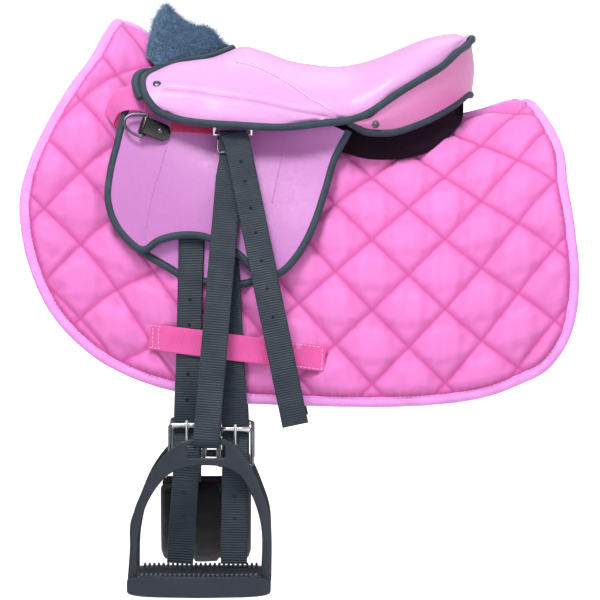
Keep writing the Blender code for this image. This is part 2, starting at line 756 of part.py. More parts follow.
def make_keeper():
    """The pad's girth loop: sewn down at both ends, with the billets under it."""
    path = []
    side = []
    for share in np.linspace(0, 1, 19):
        x = KEEPER_FRONT[0] + (KEEPER_REAR[0] - KEEPER_FRONT[0]) * share
        z = KEEPER_FRONT[1] + (KEEPER_REAR[1] - KEEPER_FRONT[1]) * share
        bridge = np.interp(share, [0, 0.03, 0.11, 0.62, 0.80, 1], [0, 0, 1, 1, 0, 0])
        low = PAD_THICKNESS + 3 * GAP + WEB_THICKNESS / 2
        path.append(near(x, z, low + (KEEPER_LIFT - low) * bridge))
        side.append(np.cross(outward(x, z, low), level_side(x, z, low)))
    left = band("pad_girth_loop_left", path, side, WEB_WIDTH, WEB_THICKNESS, "hot_pink_web")
    other_side(left)


# Seat


def seat_widths(share):
    edge = SEAT_HALF_WIDTH * smooth(SEAT_WIDTH_SHARES, share)
    notch = NOTCH_HALF_WIDTH * max(0, smooth(NOTCH_WIDTH_SHARES, share))
    return notch, edge


def seat_heights(share):
    crest = SEAT_BOTTOM + SEAT_HEIGHT * smooth(SEAT_CREST_SHARES, share)
    piping = SEAT_BOTTOM + SEAT_HEIGHT * smooth(SEAT_EDGE_SHARES, share)
    return crest, piping + PIPING_RADIUS + SEAT_PIPING_CLEARANCE


def seat_top(x, y):
    """Height of the seat at this place."""
    share = (x - SEAT_FRONT) / SEAT_LENGTH
    notch, edge = seat_widths(share)
    crest, low = seat_heights(share)
    power = smooth(SEAT_ROUNDNESS_SHARES, share)
    across = np.clip((y - notch) / (edge - notch), 0, 1)
    return low + (crest - low) * (1 - across**power) ** (1 / power)


def seat_point(share, across):
    """Point of the near half: across runs from the crest or the notch to the lower edge."""
    notch, edge = seat_widths(share)
    crest, low = seat_heights(share)
    power = 2 / smooth(SEAT_ROUNDNESS_SHARES, share)
    angle = across * math.pi / 2
    y = notch + (edge - notch) * math.sin(angle) ** power
    z = low + (crest - low) * max(0, math.cos(angle)) ** power
    behind = SEAT_LENGTH * (share - SEAT_ROW_SHARES[0])
    fade = max(0, 1 - behind / POMMEL_BULGE_REACH) ** 2
    x = SEAT_FRONT + SEAT_LENGTH * share - POMMEL_BULGE * fade * math.sin(math.pi * across)
    return np.array((x, -y, z))


def seat_edge_path():
    """The piping's middle on the near side, from the back's middle round to the notch's end."""
    reach = PIPING_RADIUS + SEAT_PIPING_CLEARANCE
    step = 1 / (SEAT_COLUMNS - 1)
    rear, before_rear = SEAT_ROW_SHARES[-1], SEAT_ROW_SHARES[-2]
    front, after_front = SEAT_ROW_SHARES[:2]
    notch_rows = SEAT_ROW_SHARES[1:7]
    # Place on the edge, then a place farther in
    edge = [((rear, a), (before_rear, a)) for a in (0, 0.3, 0.6, 0.85)]
    edge += [((share, 1), (share, 1 - step)) for share in reversed(SEAT_ROW_SHARES[1:-1])]
    edge.append(((front, 1), (after_front, 1 - step)))
    edge += [((front, a), (after_front, a)) for a in (0.84, 0.68, 0.5, 0.33, 0.15)]
    edge.append(((front, 0), (after_front, step)))
    edge += [((share, 0), (share, step)) for share in notch_rows]
    places = np.array([seat_point(*place) for place, inside in edge])
    away = places - np.array([seat_point(*inside) for place, inside in edge])
    along = np.gradient(places, axis=0)
    along /= np.linalg.norm(along, axis=1)[:, None]
    away -= np.sum(away * along, axis=1)[:, None] * along
    away /= np.linalg.norm(away, axis=1)[:, None]
    path = places + away * reach
    path[-1] = places[-1] - np.array((reach, 0, 0))
    path[0][1] = path[-1][1] = 0
    return path


def make_seat():
    columns = np.linspace(0, 1, SEAT_COLUMNS)
    rows = [[seat_point(share, a) for a in columns] for share in SEAT_ROW_SHARES]
    for row, share in zip(rows, SEAT_ROW_SHARES):
        if share >= NOTCH_WIDTH_SHARES[-1][0]:
            row[0][1] = 0
    cover = mirrored_half(surface("seat_cover", rows, "lilac_leather"))
    baked(thickened(cover, SEAT_THICKNESS, -1))
    path = seat_edge_path()
    near_run = through(path, SEAT_PIPING_STATIONS)
    near_run[0][1] = near_run[-1][1] = 0
    far_run = [(x, -y, z) for x, y, z in near_run[-2:0:-1]]
    loop = [tuple(p) for p in near_run] + far_run
    tube("seat_piping", loop, PIPING_RADIUS, "slate_piping", closed=True, sides=1)


def facing_piping_level(share):
    return SEAT_BOTTOM + SEAT_HEIGHT * smooth(FACING_LOW_SHARES, share)


def facing_lines():
    """Upper and lower edges of the band under the cantle, near half, from its tip to the middle."""
    shares = np.linspace(FACING_LOW_SHARES[0][0], FACING_LOW_SHARES[-1][0], FACING_STATIONS)
    drop = 2 * PIPING_RADIUS + SEAT_PIPING_CLEARANCE + FACING_CLEARANCE
    upper = []
    lower = []
    for share in shares:
        edge = seat_point(share, 1)
        upper.append(edge + np.array((0, 0, -drop)))
        tucked = np.array((0, FACING_TUCK * min(1, abs(edge[1]) / SEAT_HALF_WIDTH * 2), 0))
        level = facing_piping_level(share) + PIPING_RADIUS + GAP
        lower.append(np.array((edge[0], edge[1], level)) + tucked)
    back = seat_point(SEAT_ROW_SHARES[-1], 1)[0]
    for line in (upper, lower):
        last = line[-1].copy()
        last[0] = back + PIPING_RADIUS
        last[1] = 0
        line.append(last)
    return through(upper, 16), through(lower, 16)


def make_facing():
    upper, lower = facing_lines()
    upper[-1][1] = lower[-1][1] = 0
    rows = [upper * (1 - share) + lower * share for share in np.linspace(0, 1, 4)]
    facing = mirrored_half(surface("cantle_facing", rows, "pink_leather"))
    baked(thickened(facing, FACING_THICKNESS, 0))
    drop = np.array((0, 0, -(PIPING_RADIUS + GAP)))
    near_run = lower + drop
    far_run = [(x, -y, z) for x, y, z in near_run[-2::-1]]
    run = [tuple(p) for p in near_run] + far_run
    tube("cantle_piping", run, PIPING_RADIUS, "slate_piping", sides=1)


def make_tree():
    rows = []
    shares = [s for s in SEAT_ROW_SHARES if SEAT_ROW_SHARES[1] <= s <= SEAT_ROW_SHARES[-3]]
    for share in shares:
        x = SEAT_FRONT + SEAT_LENGTH * share
        notch, edge = seat_widths(share)
        inner = notch + TREE_NOTCH_MARGIN if notch > 0 else 0
        outer = notch + (edge - notch) * TREE_REACH_SHARE
        places = inner + (outer - inner) * np.linspace(0, 1, 5)
        rows.append([(x, -y, seat_top(x, y) - TREE_DEPTH) for y in places])
    tree = mirrored_half(surface("saddle_tree", rows, "black_composite"))
    baked(thickened(tree, TREE_THICKNESS, 0))


def make_panels():
    """Stuffed cushions between the tree and the pad, one on each side of the spine."""
    levels = np.array((0, 0.25, 0.5, 0.75, 1))
    sections = []
    for share in PANEL_ROW_SHARES:
        x = SEAT_FRONT + SEAT_LENGTH * share
        foot = PANEL_HALF_WIDTH * smooth(PANEL_WIDTH_SHARES, share)
        notch, edge = seat_widths(share)
        inner = max(PANEL_GULLET, notch + PANEL_NOTCH_MARGIN)
        outer = min(foot, edge - PANEL_FACING_MARGIN - PANEL_CROWN)
        spread = PANEL_FOOT_SPREAD * min(1, max(0, (share - 0.60) / 0.08))
        high_places = inner + (outer - inner) * levels
        low_places = inner + (foot + spread - inner) * levels
        tops = [(y, float(seat_top(x, y)) - PANEL_DEPTH) for y in high_places]
        feet = [(y, float(body_top(x, y, PAD_THICKNESS + PANEL_CLEARANCE))) for y in low_places]
        below = facing_piping_level(share) - PIPING_RADIUS - FACING_CLEARANCE
        middle = (tops[-1][1] + feet[-1][1]) / 2
        if share > FACING_LOW_SHARES[0][0]:
            middle = max(min(middle, below), feet[-1][1] + PANEL_CROWN)
        bulge = (max(outer, foot + spread) + PANEL_CROWN, middle * 0.3 + feet[-1][1] * 0.7)
        inner_middle = (tops[0][1] + feet[0][1]) / 2
        ring = [*tops, (outer + PANEL_CROWN, middle), bulge, *reversed(feet)]
        ring.append((inner - PANEL_CROWN, inner_middle))
        sections.append([(x, -y, z) for y, z in ring])
    other_side(loft("panel_left", sections, "plum_cloth"))


def make_fleece():
    """A fleece hump over the withers, inside the cut-back head."""
    base = PAD_THICKNESS + FLEECE_CLEARANCE + SPINE_TAPE_THICKNESS
    rear = SEAT_FRONT + SEAT_LENGTH * FLEECE_REAR_SHARE
    sections = []
    for along in np.linspace(0, 1, FLEECE_STATIONS):
        rise = FLEECE_HEIGHT * smooth(FLEECE_RISE_SHARES, along)
        foot = NOTCH_HALF_WIDTH * smooth(FLEECE_FOOT_SHARES, along)
        over = []
        under = []
        for part in (0, 0.25, 0.5, 0.75, 1):
            front = SEAT_FRONT + SEAT_LENGTH * (FLEECE_FRONT_SHARE - FLEECE_SIDE_REACH_SHARE * part)
            x = front + (rear - front) * along
            level = float(body_top(x, foot * part, base))
            over.append((x, foot * part, level + rise * (1 - part) ** FLEECE_SLOPE_POWER))
            under.append((x, foot * part, level))
        ring = [(x, -y, z) for x, y, z in reversed(over[:-1])] + over[1:-1]
        ring += under[::-1] + [(x, -y, z) for x, y, z in under[1:]]
        sections.append(ring)
    loft("pommel_fleece", sections, "blue_grey_fleece")


# Flaps


def flap_sheet(name, shares, margin, lift, thickness, material):
    outline = through(scaled(shares, FLAP_FRONT, FLAP_LENGTH, FLAP_BOTTOM, FLAP_DROP), FLAP_STATIONS)
    top = scaled(FLAP_TOP_SHARES, FLAP_FRONT, FLAP_LENGTH, FLAP_BOTTOM, FLAP_DROP)
    outline = np.vstack([inset(outline, margin, closed=False)[1:-1], top])
    centre = (FLAP_FRONT + FLAP_LENGTH / 2, FLAP_BOTTOM + FLAP_DROP / 2)
    cell = FLAP_LENGTH / 8
    flat = [[thickness, thickness], [thickness, thickness]]
    slab = lattice_solid("slab", centre, FLAP_LENGTH, cell, 0, flat, 0)

    def hung(x, z, depth):
        return near(x, z, lift - thickness / 2 + depth, hang_side)

    return cut_and_laid(name, slab, outline, hung, material)


def make_flaps():
    margin = UNDER_FLAP_INSET
    under = flap_sheet(
        "under_flap_left", UNDER_FLAP_OUTLINE_SHARES, margin, UNDER_FLAP_LIFT, UNDER_FLAP_THICKNESS,
        "lilac_leather",
    )
    other_side(under)
    flap = flap_sheet(
        "flap_left", FLAP_OUTLINE_SHARES, PIPING_RADIUS + GAP, FLAP_LIFT, FLAP_THICKNESS, "lilac_leather",
    )
    other_side(flap)
    outline = scaled(FLAP_OUTLINE_SHARES, FLAP_FRONT, FLAP_LENGTH, FLAP_BOTTOM, FLAP_DROP)
    path = [near(x, z, FLAP_LIFT, hang_side) for x, z in through(outline, FLAP_STATIONS)]
    other_side(tube("flap_piping_left", path, PIPING_RADIUS, "slate_piping", sides=1))


# Stirrup bar, leather and stirrup


def bar_side():
    return float(hang_side(BAR_CENTRE, -BAR_DROP, BAR_LIFT))


def make_stirrup_bar():
    y = -bar_side()
    front = BAR_CENTRE - BAR_ARM_SPREAD
    rear = BAR_CENTRE + BAR_ARM_SPREAD
    ends = []
    for x in (front, rear):
        share = (x - SEAT_FRONT) / SEAT_LENGTH
        notch, edge = seat_widths(share)
        outer = notch + (edge - notch) * TREE_REACH_SHARE
        inner = outer - TREE_THICKNESS
        fall = (seat_top(x, inner) - seat_top(x, outer)) / TREE_THICKNESS
        square = math.hypot(1, fall)
        below = TREE_DEPTH + (TREE_THICKNESS / 2 + BAR_RADIUS + 3 * GAP) * square
        ends.append((x, -inner, float(seat_top(x, inner)) - below))
    path = [ends[0], (front, y, BAR_ARM_TOP), (front, y, -BAR_DROP)]
    path += [(rear, y, -BAR_DROP), (rear, y, BAR_ARM_TOP), ends[1]]
    other_side(tube("stirrup_bar_left", path, BAR_RADIUS, "bright_steel"))


def turn_round(centre, radius, start, end, count):
    """Points round a bar that lies along X: angles from straight outwards, upwards positive."""
    angles = np.radians(np.linspace(start, end, count))
    return [(centre[0], centre[1] - radius * math.cos(a), centre[2] + radius * math.sin(a)) for a in angles]


def eye_centre():
    """The stirrup hangs clear of the rear billet, where the pony is widest behind it."""
    x, z = LEATHER_EYE
    widest = float(plumb_side(BUCKLE_PLACES["rear"][0], z, LEATHER_EYE_LIFT))
    return (x, -widest, z)


def beside_bar(x, stand, drop):
    """Near the stirrup bar: stand is square to the flap's slope there, drop is down along it."""
    top = np.array(near(BAR_CENTRE, -BAR_DROP, BAR_LIFT, hang_side))
    low = np.array(near(BAR_CENTRE, -BAR_DROP - 2 * LEATHER_BUCKLE_HEIGHT, BAR_LIFT, hang_side))
    down = (low - top) / np.linalg.norm(low - top)
    out = np.array((0, down[2], -down[1]))
    place = top + out * stand + down * drop
    return (x, place[1], place[2])


def leather_points():
    """The strap from its buckle over the bar, down, round the stirrup's rim, up, and down again."""
    bar = np.array((BAR_CENTRE, -bar_side(), -BAR_DROP))
    eye = np.array(eye_centre())
    half = WEB_THICKNESS / 2
    turn = BAR_RADIUS + 2 * GAP + half
    rim = math.hypot(EYE_RIM_HALF_DEPTH, EYE_RIM_HALF_HEIGHT) + GAP + half
    eye_lift = -eye[1] - float(plumb_side(eye[0], eye[2], 0))
    _, out_y, out_z = np.array(beside_bar(0, 1, 0)) - np.array(beside_bar(0, 0, 0))
    lean = math.degrees(math.atan2(out_z, -out_y))

    def strand(share, stand):
        """A point between the bar and the eye, stood off the line of the inner strand."""
        x, _, z = bar + (eye - bar) * share
        lifts = [BAR_LIFT - turn, eye_lift - 3 * half, eye_lift - rim, eye_lift - rim]
        return near(x, z, np.interp(share, [0, 0.86, 0.95, 1], lifts) + stand, hang_side)

    upper = LEATHER_BUCKLE_DROP
    lower = LEATHER_BUCKLE_DROP + LEATHER_BUCKLE_HEIGHT
    reach = LEATHER_BUCKLE_RADIUS + GAP + half
    behind = LEATHER_BUCKLE_STAND - reach
    front = LEATHER_BUCKLE_STAND + reach
    fold = half + GAP
    pair = 2 * half + 2 * GAP
    path = [beside_bar(BAR_CENTRE, turn, upper - LEATHER_BUCKLE_RADIUS - 2 * GAP)]
    path += turn_round(bar, turn, lean, lean + 180, 7)
    path += [beside_bar(BAR_CENTRE, -turn, drop) for drop in (upper, lower)]
    path += [strand(share, 0) for share in np.linspace(0.14, 0.95, 12)]
    path += turn_round(eye, rim, 180, 360, 9)
    path += [strand(share, pair + 2 * rim * max(0, (share - 0.86) / 0.14)) for share in (0.95, 0.90)]
    path += [strand(share, pair) for share in np.linspace(0.84, 0.20, 9)]
    path += [beside_bar(BAR_CENTRE, behind, drop) for drop in (lower + pair, lower)]
    path += [beside_bar(BAR_CENTRE, front, drop) for drop in (upper, upper - half)]
    top = beside_bar(BAR_CENTRE, front + fold, upper - pair)
    path += turn_round(top, fold, lean + 180, lean, 7)
    hang = front + 2 * fold
    path.append(beside_bar((BAR_CENTRE + TAIL_START) / 2, hang, lower * 0.6))
    path.append(beside_bar(TAIL_START, hang, lower + WEB_WIDTH / 2))
    start = np.array(path[-1])
    for share in np.linspace(0.1, 1, 12):
        x = start[0] + (TAIL_END[0] - start[0]) * share
        z = start[2] + (TAIL_END[1] - start[2]) * share
        lifts = [BAR_LIFT + hang, TAIL_LIFT_LOW + hang / 2, TAIL_LIFT_LOW]
        lift = np.interp(share, [0, 0.45, 1], lifts)
        path.append(near(x, z, lift, hang_side))
    return path, bar


def make_leather():
    path, bar = leather_points()
    left = band("stirrup_leather_left", path, (1, 0, 0), WEB_WIDTH, WEB_THICKNESS, "black_web")
    radius = LEATHER_TONGUE_RADIUS
    first = LEATHER_BUCKLE_DROP + LEATHER_BUCKLE_RADIUS + GAP
    last = LEATHER_BUCKLE_DROP + LEATHER_BUCKLE_HEIGHT * 0.72
    slot = box(
        "slot", (BAR_CENTRE - 2 * radius, LEATHER_BUCKLE_STAND - 4 * radius, first),
        (BAR_CENTRE + 2 * radius, LEATHER_BUCKLE_STAND + 4 * radius, last),
    )
    for vert in slot.data.vertices:
        vert.co = beside_bar(*vert.co)
    left = boolean(left, slot, "DIFFERENCE")
    other_side(set_origin(left, bar))

    half = WEB_WIDTH / 2 + LEATHER_BUCKLE_RADIUS + 2 * GAP
    high = LEATHER_BUCKLE_DROP
    low = LEATHER_BUCKLE_DROP + LEATHER_BUCKLE_HEIGHT
    corners = [(-half, high), (-half, low), (half, low), (half, high)]
    ring = [beside_bar(BAR_CENTRE + across, LEATHER_BUCKLE_STAND, drop) for across, drop in corners]
    frame = tube("leather_buckle_left", ring, LEATHER_BUCKLE_RADIUS, "bright_steel", closed=True, sides=1)
    other_side(set_origin(frame, bar))
    reach = LEATHER_BUCKLE_RADIUS + GAP + radius
    rest = LEATHER_BUCKLE_STAND + reach
    route = [(LEATHER_BUCKLE_STAND, high + reach), (rest, low), (rest, low + reach)]
    shank = [beside_bar(BAR_CENTRE, stand, drop) for stand, drop in route]
    other_side(tube("leather_tongue_left", shank, radius, "bright_steel", sides=1))


def make_iron():
    eye_x, eye_y, eye_z = eye_centre()
    outside = scaled(IRON_OUTSIDE_SHARES, IRON_FRONT, IRON_WIDTH, IRON_BOTTOM, IRON_HEIGHT)
    inside = scaled(IRON_INSIDE_SHARES, IRON_FRONT, IRON_WIDTH, IRON_BOTTOM, IRON_HEIGHT)
    half = IRON_DEPTH / 2
    arch = solid_outline("stirrup_iron_left", through(outside, 34), -half, half)
    window = solid_outline("window", through(inside, 26), -half - OVERRUN, half + OVERRUN)
    arch = boolean(arch, window, "DIFFERENCE")
    slot_top = eye_z - EYE_RIM_HALF_HEIGHT
    slot_low = slot_top - EYE_HEIGHT
    deep = half + OVERRUN
    slot = box(
        "slot", (eye_x - EYE_HALF_WIDTH, slot_low, -deep), (eye_x + EYE_HALF_WIDTH, slot_top, deep)
    )
    arch = boolean(arch, slot, "DIFFERENCE")
    for side in (-1, 1):
        face = EYE_RIM_HALF_DEPTH * side
        low, high = sorted((face, (half + OVERRUN) * side))
        shave = box(
            "shave", (eye_x - EYE_HALF_WIDTH, slot_top - GAP, low),
            (eye_x + EYE_HALF_WIDTH, slot_top + OVERRUN, high),
        )
        arch = boolean(arch, shave, "DIFFERENCE")
    stand = Matrix.Translation((0, eye_y, 0)) @ Matrix.Rotation(math.pi / 2, 4, "X")
    arch.data.transform(stand)
    tread_low = IRON_BOTTOM
    tread_high = IRON_BOTTOM + TREAD_THICKNESS
    front = IRON_FRONT
    rear = IRON_FRONT + IRON_WIDTH
    reach = TREAD_DEPTH / 2
    tread = box("tread", (front, eye_y - reach, tread_low), (rear, eye_y + reach, tread_high))
    bevel = tread.modifiers.new("rounding", "BEVEL")
    bevel.width = TREAD_THICKNESS * TREAD_ROUNDING_SHARE
    bevel.segments = 2
    tread = baked(tread)
    arch = boolean(arch, tread, "UNION")
    for k in range(TREAD_RIBS):
        share = (k + 1) / (TREAD_RIBS + 1)
        x = front + IRON_WIDTH * (TREAD_END_SHARE + (1 - 2 * TREAD_END_SHARE) * share)
        wide = IRON_WIDTH / TREAD_RIBS * TREAD_RIB_SHARE
        rib = box(
            "rib", (x - wide, eye_y - reach * TREAD_RIB_REACH_SHARE, tread_high - TREAD_RIB_HEIGHT),
            (x + wide, eye_y + reach * TREAD_RIB_REACH_SHARE, tread_high + TREAD_RIB_HEIGHT),
        )
        arch = boolean(arch, rib, "UNION")
    arch.data.materials.clear()
    arch.data.materials.append(materials["black_composite"])
    other_side(set_origin(arch, (eye_x, eye_y, eye_z)))


# Billets, girth and buckles


def billet_points(which):
    """The billet's path with the direction of its width at each point."""
    buckle_x, buckle_z = BUCKLE_PLACES[which]
    top_x, top_z = BILLET_TOPS[which]
    end_x, end_z = BILLET_ENDS[which]
    half = BILLET_THICKNESS / 2
    behind = BUCKLE_LIFT - ROLLER_RADIUS - GAP - half
    before = BUCKLE_LIFT + BUCKLE_WIRE_RADIUS + WEB_THICKNESS + 3 * GAP + half
    path = []
    side = []
    for share in np.linspace(0, 1, 14):
        lift = np.interp(share, [0, 0.8, 1], [BILLET_LIFT, BILLET_LIFT, behind])
        x = top_x + (buckle_x - top_x) * share
        z = top_z + (buckle_z - top_z) * share
        path.append(near(x, z, lift, plumb_side))
        level = level_side(x, z, lift)
        fade = np.interp(share, [0.7, 0.95], [1, 0])
        side.append((level[0], level[1] * fade, 0))
    for share in (0.2, 0.4, 0.6, 0.8, 1.0):
        part = min(1, share / 0.8)
        ease = 3 * part**2 - 2 * part**3
        z = buckle_z - BUCKLE_HEIGHT * share
        path.append(near(buckle_x, z, behind + (before - behind) * ease, plumb_side))
    widest = path[-1][1]
    low_z = buckle_z - BUCKLE_HEIGHT
    for share in (0.1, 0.35, 0.7, 1.0):
        path.append((buckle_x + (end_x - buckle_x) * share, widest, low_z + (end_z - low_z) * share))
    side += [(1, 0, 0)] * (len(path) - len(side))
    return path, side


def make_billets():
    for which, (x, z) in BUCKLE_PLACES.items():
        path, side = billet_points(which)
        strap = band(f"billet_{which}_left", path, side, WEB_WIDTH, BILLET_THICKNESS, "black_web")
        y = -float(plumb_side(x, z, BUCKLE_LIFT))
        level = z - BUCKLE_HEIGHT * HOLE_SHARE
        hole = box(
            "hole", (x - BILLET_HOLE_RADIUS, y - BUCKLE_LIFT, level - HOLE_HALF_HEIGHT),
            (x + BILLET_HOLE_RADIUS, y + BUCKLE_LIFT, level + HOLE_HALF_HEIGHT),
        )
        other_side(boolean(strap, hole, "DIFFERENCE"))


def buckle_bar(which):
    """Middle of the girth buckle's lower bar."""
    x, z = BUCKLE_PLACES[which]
    return (x, -float(plumb_side(x, z, BUCKLE_LIFT)), z - BUCKLE_HEIGHT)


def make_girth_buckles():
    for which, (x, z) in BUCKLE_PLACES.items():
        _, y, low = buckle_bar(which)
        half = BUCKLE_INSIDE_WIDTH / 2 + BUCKLE_WIRE_RADIUS
        ring = [(x - half, y, z), (x - half, y, low), (x + half, y, low), (x + half, y, z)]
        frame = tube(
            f"girth_buckle_{which}_left", ring, BUCKLE_WIRE_RADIUS, "dark_steel", closed=True, sides=1
        )
        other_side(frame)
        length = BUCKLE_INSIDE_WIDTH - 2 * GAP
        roller = cylinder("roller", (x, y, z), (1, 0, 0), ROLLER_RADIUS, length, "bright_steel", 14)
        bore = cylinder(
            "bore", (x, y, z), (1, 0, 0), BUCKLE_WIRE_RADIUS + GAP, length + OVERRUN, "bright_steel", 14
        )
        roller = boolean(roller, bore, "DIFFERENCE")
        roller.name = f"girth_roller_{which}_left"
        other_side(set_origin(roller, (x, y, z)))
        hook = BUCKLE_WIRE_RADIUS + GAP + TONGUE_RADIUS
        rest = ROLLER_RADIUS + 2 * GAP + TONGUE_RADIUS
        path = turn_round((x, y, low), hook, -60, -225, 7)
        path.append((x, y, low + hook * 1.8))
        path.append((x, y - rest, z))
        path.append((x, y - rest, z + rest))
        tongue = tube(f"girth_tongue_{which}_left", path, TONGUE_RADIUS, "bright_steel", sides=1)
        other_side(set_origin(tongue, (x, y, low)))


def girth_end_angle():
    """Where the girth pad ends, as an angle from the lowest point of the belly."""
    return math.acos(min(1, (GIRTH_TOP + BARREL_WIDEST_DROP) / (-BELLY_DEPTH - GIRTH_LIFT)))


def make_girth_webs():
    """Webbing from buckle to buckle inside the girth, looped round each buckle's lower bar."""
    wide = float(half_width(GIRTH_CENTRE)) + GIRTH_WEB_LIFT
    deep = BELLY_DEPTH + GIRTH_WEB_LIFT
    for which in BUCKLE_PLACES:
        x, y, z = buckle_bar(which)
        turn = BUCKLE_WIRE_RADIUS + GAP + WEB_THICKNESS / 2
        loop = turn_round((x, y, z), turn, 0, 180, 7)
        half = [(x, y - turn, z - GIRTH_LOOP_LENGTH), *loop]
        entry = girth_end_angle() - GIRTH_THICKNESS / wide
        inside = (x, -wide * math.sin(entry), -BARREL_WIDEST_DROP - deep * math.cos(entry))
        step = np.array(inside) - np.array(half[-1])
        for across, down in ((0.18, 0.16), (0.52, 0.40), (0.80, 0.62), (0.94, 0.80)):
            half.append((x, loop[-1][1] + step[1] * across, loop[-1][2] + step[2] * down))
        for angle in np.linspace(entry, 0, 12):
            half.append((x, -wide * math.sin(angle), -BARREL_WIDEST_DROP - deep * math.cos(angle)))
        far = [(px, -py, pz) for px, py, pz in half[-2::-1]]
        web = band(f"girth_web_{which}", half + far, (1, 0, 0), WEB_WIDTH, WEB_THICKNESS, "black_web")
        for hand in (-1, 1):
            slot_y = abs(y) * hand
            slot = box(
                "slot", (x - 2 * TONGUE_RADIUS, slot_y - 2 * turn, z - 2 * turn),
                (x + 2 * TONGUE_RADIUS, slot_y + 2 * turn, z + 2 * turn),
            )
            web = boolean(web, slot, "DIFFERENCE")


# Small fittings


def make_stud(name, place, along, down):
    """A domed stud on a surface that two directions give."""
    square = Vector(np.cross(along, down)).normalized()
    if square.y > 0:
        square.negate()
    centre = Vector(place) + square * (STUD_HEIGHT / 2 + GAP)
    stud = cylinder(name, centre, square, STUD_RADIUS, STUD_HEIGHT, "dark_steel", 14)
    dome = stud.modifiers.new("dome", "BEVEL")
    dome.width = STUD_HEIGHT * 0.4
    dome.limit_method = "ANGLE"
    other_side(baked(stud))


def make_studs():
    share, across = STUD_FRONT_SHARES
    place = seat_point(share, across)
    step = GAP / SEAT_LENGTH
    along = seat_point(share + step, across) - place
    down = seat_point(share, across + step) - place
    make_stud("stud_front_left", place, along, down)
    upper, lower = facing_lines()
    above = (upper[0] + upper[1]) / 2
    below = (lower[0] + lower[1]) / 2
    place = below + (above - below) * STUD_REAR_HEIGHT_SHARE
    along = upper[3] - upper[0]
    down = lower[1] - upper[1]
    square = np.cross(along, down)
    lift = FACING_THICKNESS / 2 + STUD_REAR_CLEARANCE
    place += square / np.linalg.norm(square) * math.copysign(lift, -square[1])
    make_stud("stud_rear_left", place, along, down)


def dee_frame():
    """Place of the D-ring's straight bar and its directions: along the tab, along the bar, outwards."""
    x, z = DEE_PLACE
    place = np.array(near(x, z, DEE_LIFT, hang_side))
    out = outward(x, z, DEE_LIFT, hang_side)
    level = level_side(x, z, DEE_LIFT, hang_side)
    up = np.cross(out, level)
    if up[2] < 0:
        up = -up
    tab = level * math.cos(DEE_TILT) - up * math.sin(DEE_TILT)
    bar = np.cross(out, tab)
    return place, tab, bar / np.linalg.norm(bar), out


def make_dees():
    place, tab, bar, out = dee_frame()

    def at(along, across, off):
        return tuple(place + tab * along + bar * across + out * off)

    turn = DEE_WIRE_RADIUS + GAP + DEE_TAB_THICKNESS / 2
    curl = [at(turn * 1.2, 0, -turn)]
    for angle in np.radians(np.linspace(-90, -270, 7)):
        curl.append(at(turn * math.cos(angle), 0, turn * math.sin(angle)))
    fall = DEE_LIFT + turn - DEE_TAB_END_LIFT
    strap = curl + [at(DEE_TAB_LENGTH * k, 0, turn - fall * k) for k in (0.35, 0.7, 1.0)]
    left = band("dee_tab_left", strap, bar, DEE_TAB_WIDTH, DEE_TAB_THICKNESS, "black_leather")
    rivet_place = at(DEE_TAB_LENGTH * 0.6, 0, turn - fall * 0.6 + DEE_TAB_THICKNESS / 2)
    rivet = cylinder(
        "rivet", rivet_place, out, RIVET_RADIUS, 2 * RIVET_HEIGHT, "black_leather", 12
    )
    other_side(boolean(left, rivet, "UNION"))
    ring = [at(0, DEE_HALF_LENGTH * k, 0) for k in (-0.5, 0, 0.5)]
    for angle in np.radians(np.linspace(90, 270, 11)):
        ring.append(at(DEE_REACH * math.cos(angle), DEE_HALF_LENGTH * math.sin(angle), 0))
    left = tube("dee_ring_left", ring, DEE_WIRE_RADIUS, "dark_steel", closed=True, sides=1)
    other_side(set_origin(left, place))


def make_front_straps():
    """The pad's strap from its front edge up to the saddle's front, tucked under the skirt."""
    path = []
    side = []
    points = through(FRONT_STRAP_ROUTE, 11)
    for x, z, lift in points:
        path.append(near(x, z, lift, hang_side))
    along = np.gradient(np.array(path), axis=0)
    for (x, z, lift), step in zip(points, along):
        side.append(np.cross(outward(x, z, lift, hang_side), step))
    side = [vector / np.linalg.norm(vector) for vector in side]
    left = band(
        "pad_front_strap_left", path, side, FRONT_STRAP_WIDTH, FRONT_STRAP_THICKNESS, "hot_pink_web"
    )
    other_side(left)


def make_girth():
    start = girth_end_angle()
    half = GIRTH_WIDTH / 2
    ridge = GIRTH_RIDGE_WIDTH / 2
    edge = [(half * across, share) for across, share in GIRTH_EDGE_SHARES]
    middle = [(ridge * across, 1) for across in GIRTH_RIDGE_SHARES]
    right = middle + edge
    profile = [(-across, share) for across, share in reversed(right)] + right
    raised = {len(right) - 1, len(right)}
    wide = float(half_width(GIRTH_CENTRE))
    sections = []
    for angle in np.linspace(-start, start, GIRTH_STATIONS):
        ring = []
        for k, (across, share) in enumerate(profile):
            up = GIRTH_LIFT + GIRTH_THICKNESS * share + (GIRTH_RIDGE_HEIGHT if k in raised else 0)
            y = (wide + up) * math.sin(angle)
            z = -BARREL_WIDEST_DROP - (BELLY_DEPTH + up) * math.cos(angle)
            ring.append((GIRTH_CENTRE + across, y, z))
        sections.append(ring)
    loft("girth_pad", sections, "black_padding")


clear_scene()
parts = make_collection("pony_saddle")
materials = {name: make_material(name, *look) for name, look in COLOURS.items()}
make_pad()
make_keeper()
make_seat()
make_facing()
make_tree()
make_panels()
make_fleece()
make_flaps()
make_stirrup_bar()
make_leather()
make_iron()
make_billets()
make_girth_buckles()
make_girth_webs()
make_girth()
make_studs()
make_dees()
make_front_straps()
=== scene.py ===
"""Dresses the pony saddle and its quilted pad for the camera.

Metres, +Z up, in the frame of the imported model. The pony's head points to -X, its left side faces
-Y. A place on a piece is given along X, in height, and in lift: how far it stands off the pony.
"""

import math

import bmesh
import bpy
import numpy as np
from mathutils import Matrix, Vector
from mathutils import noise


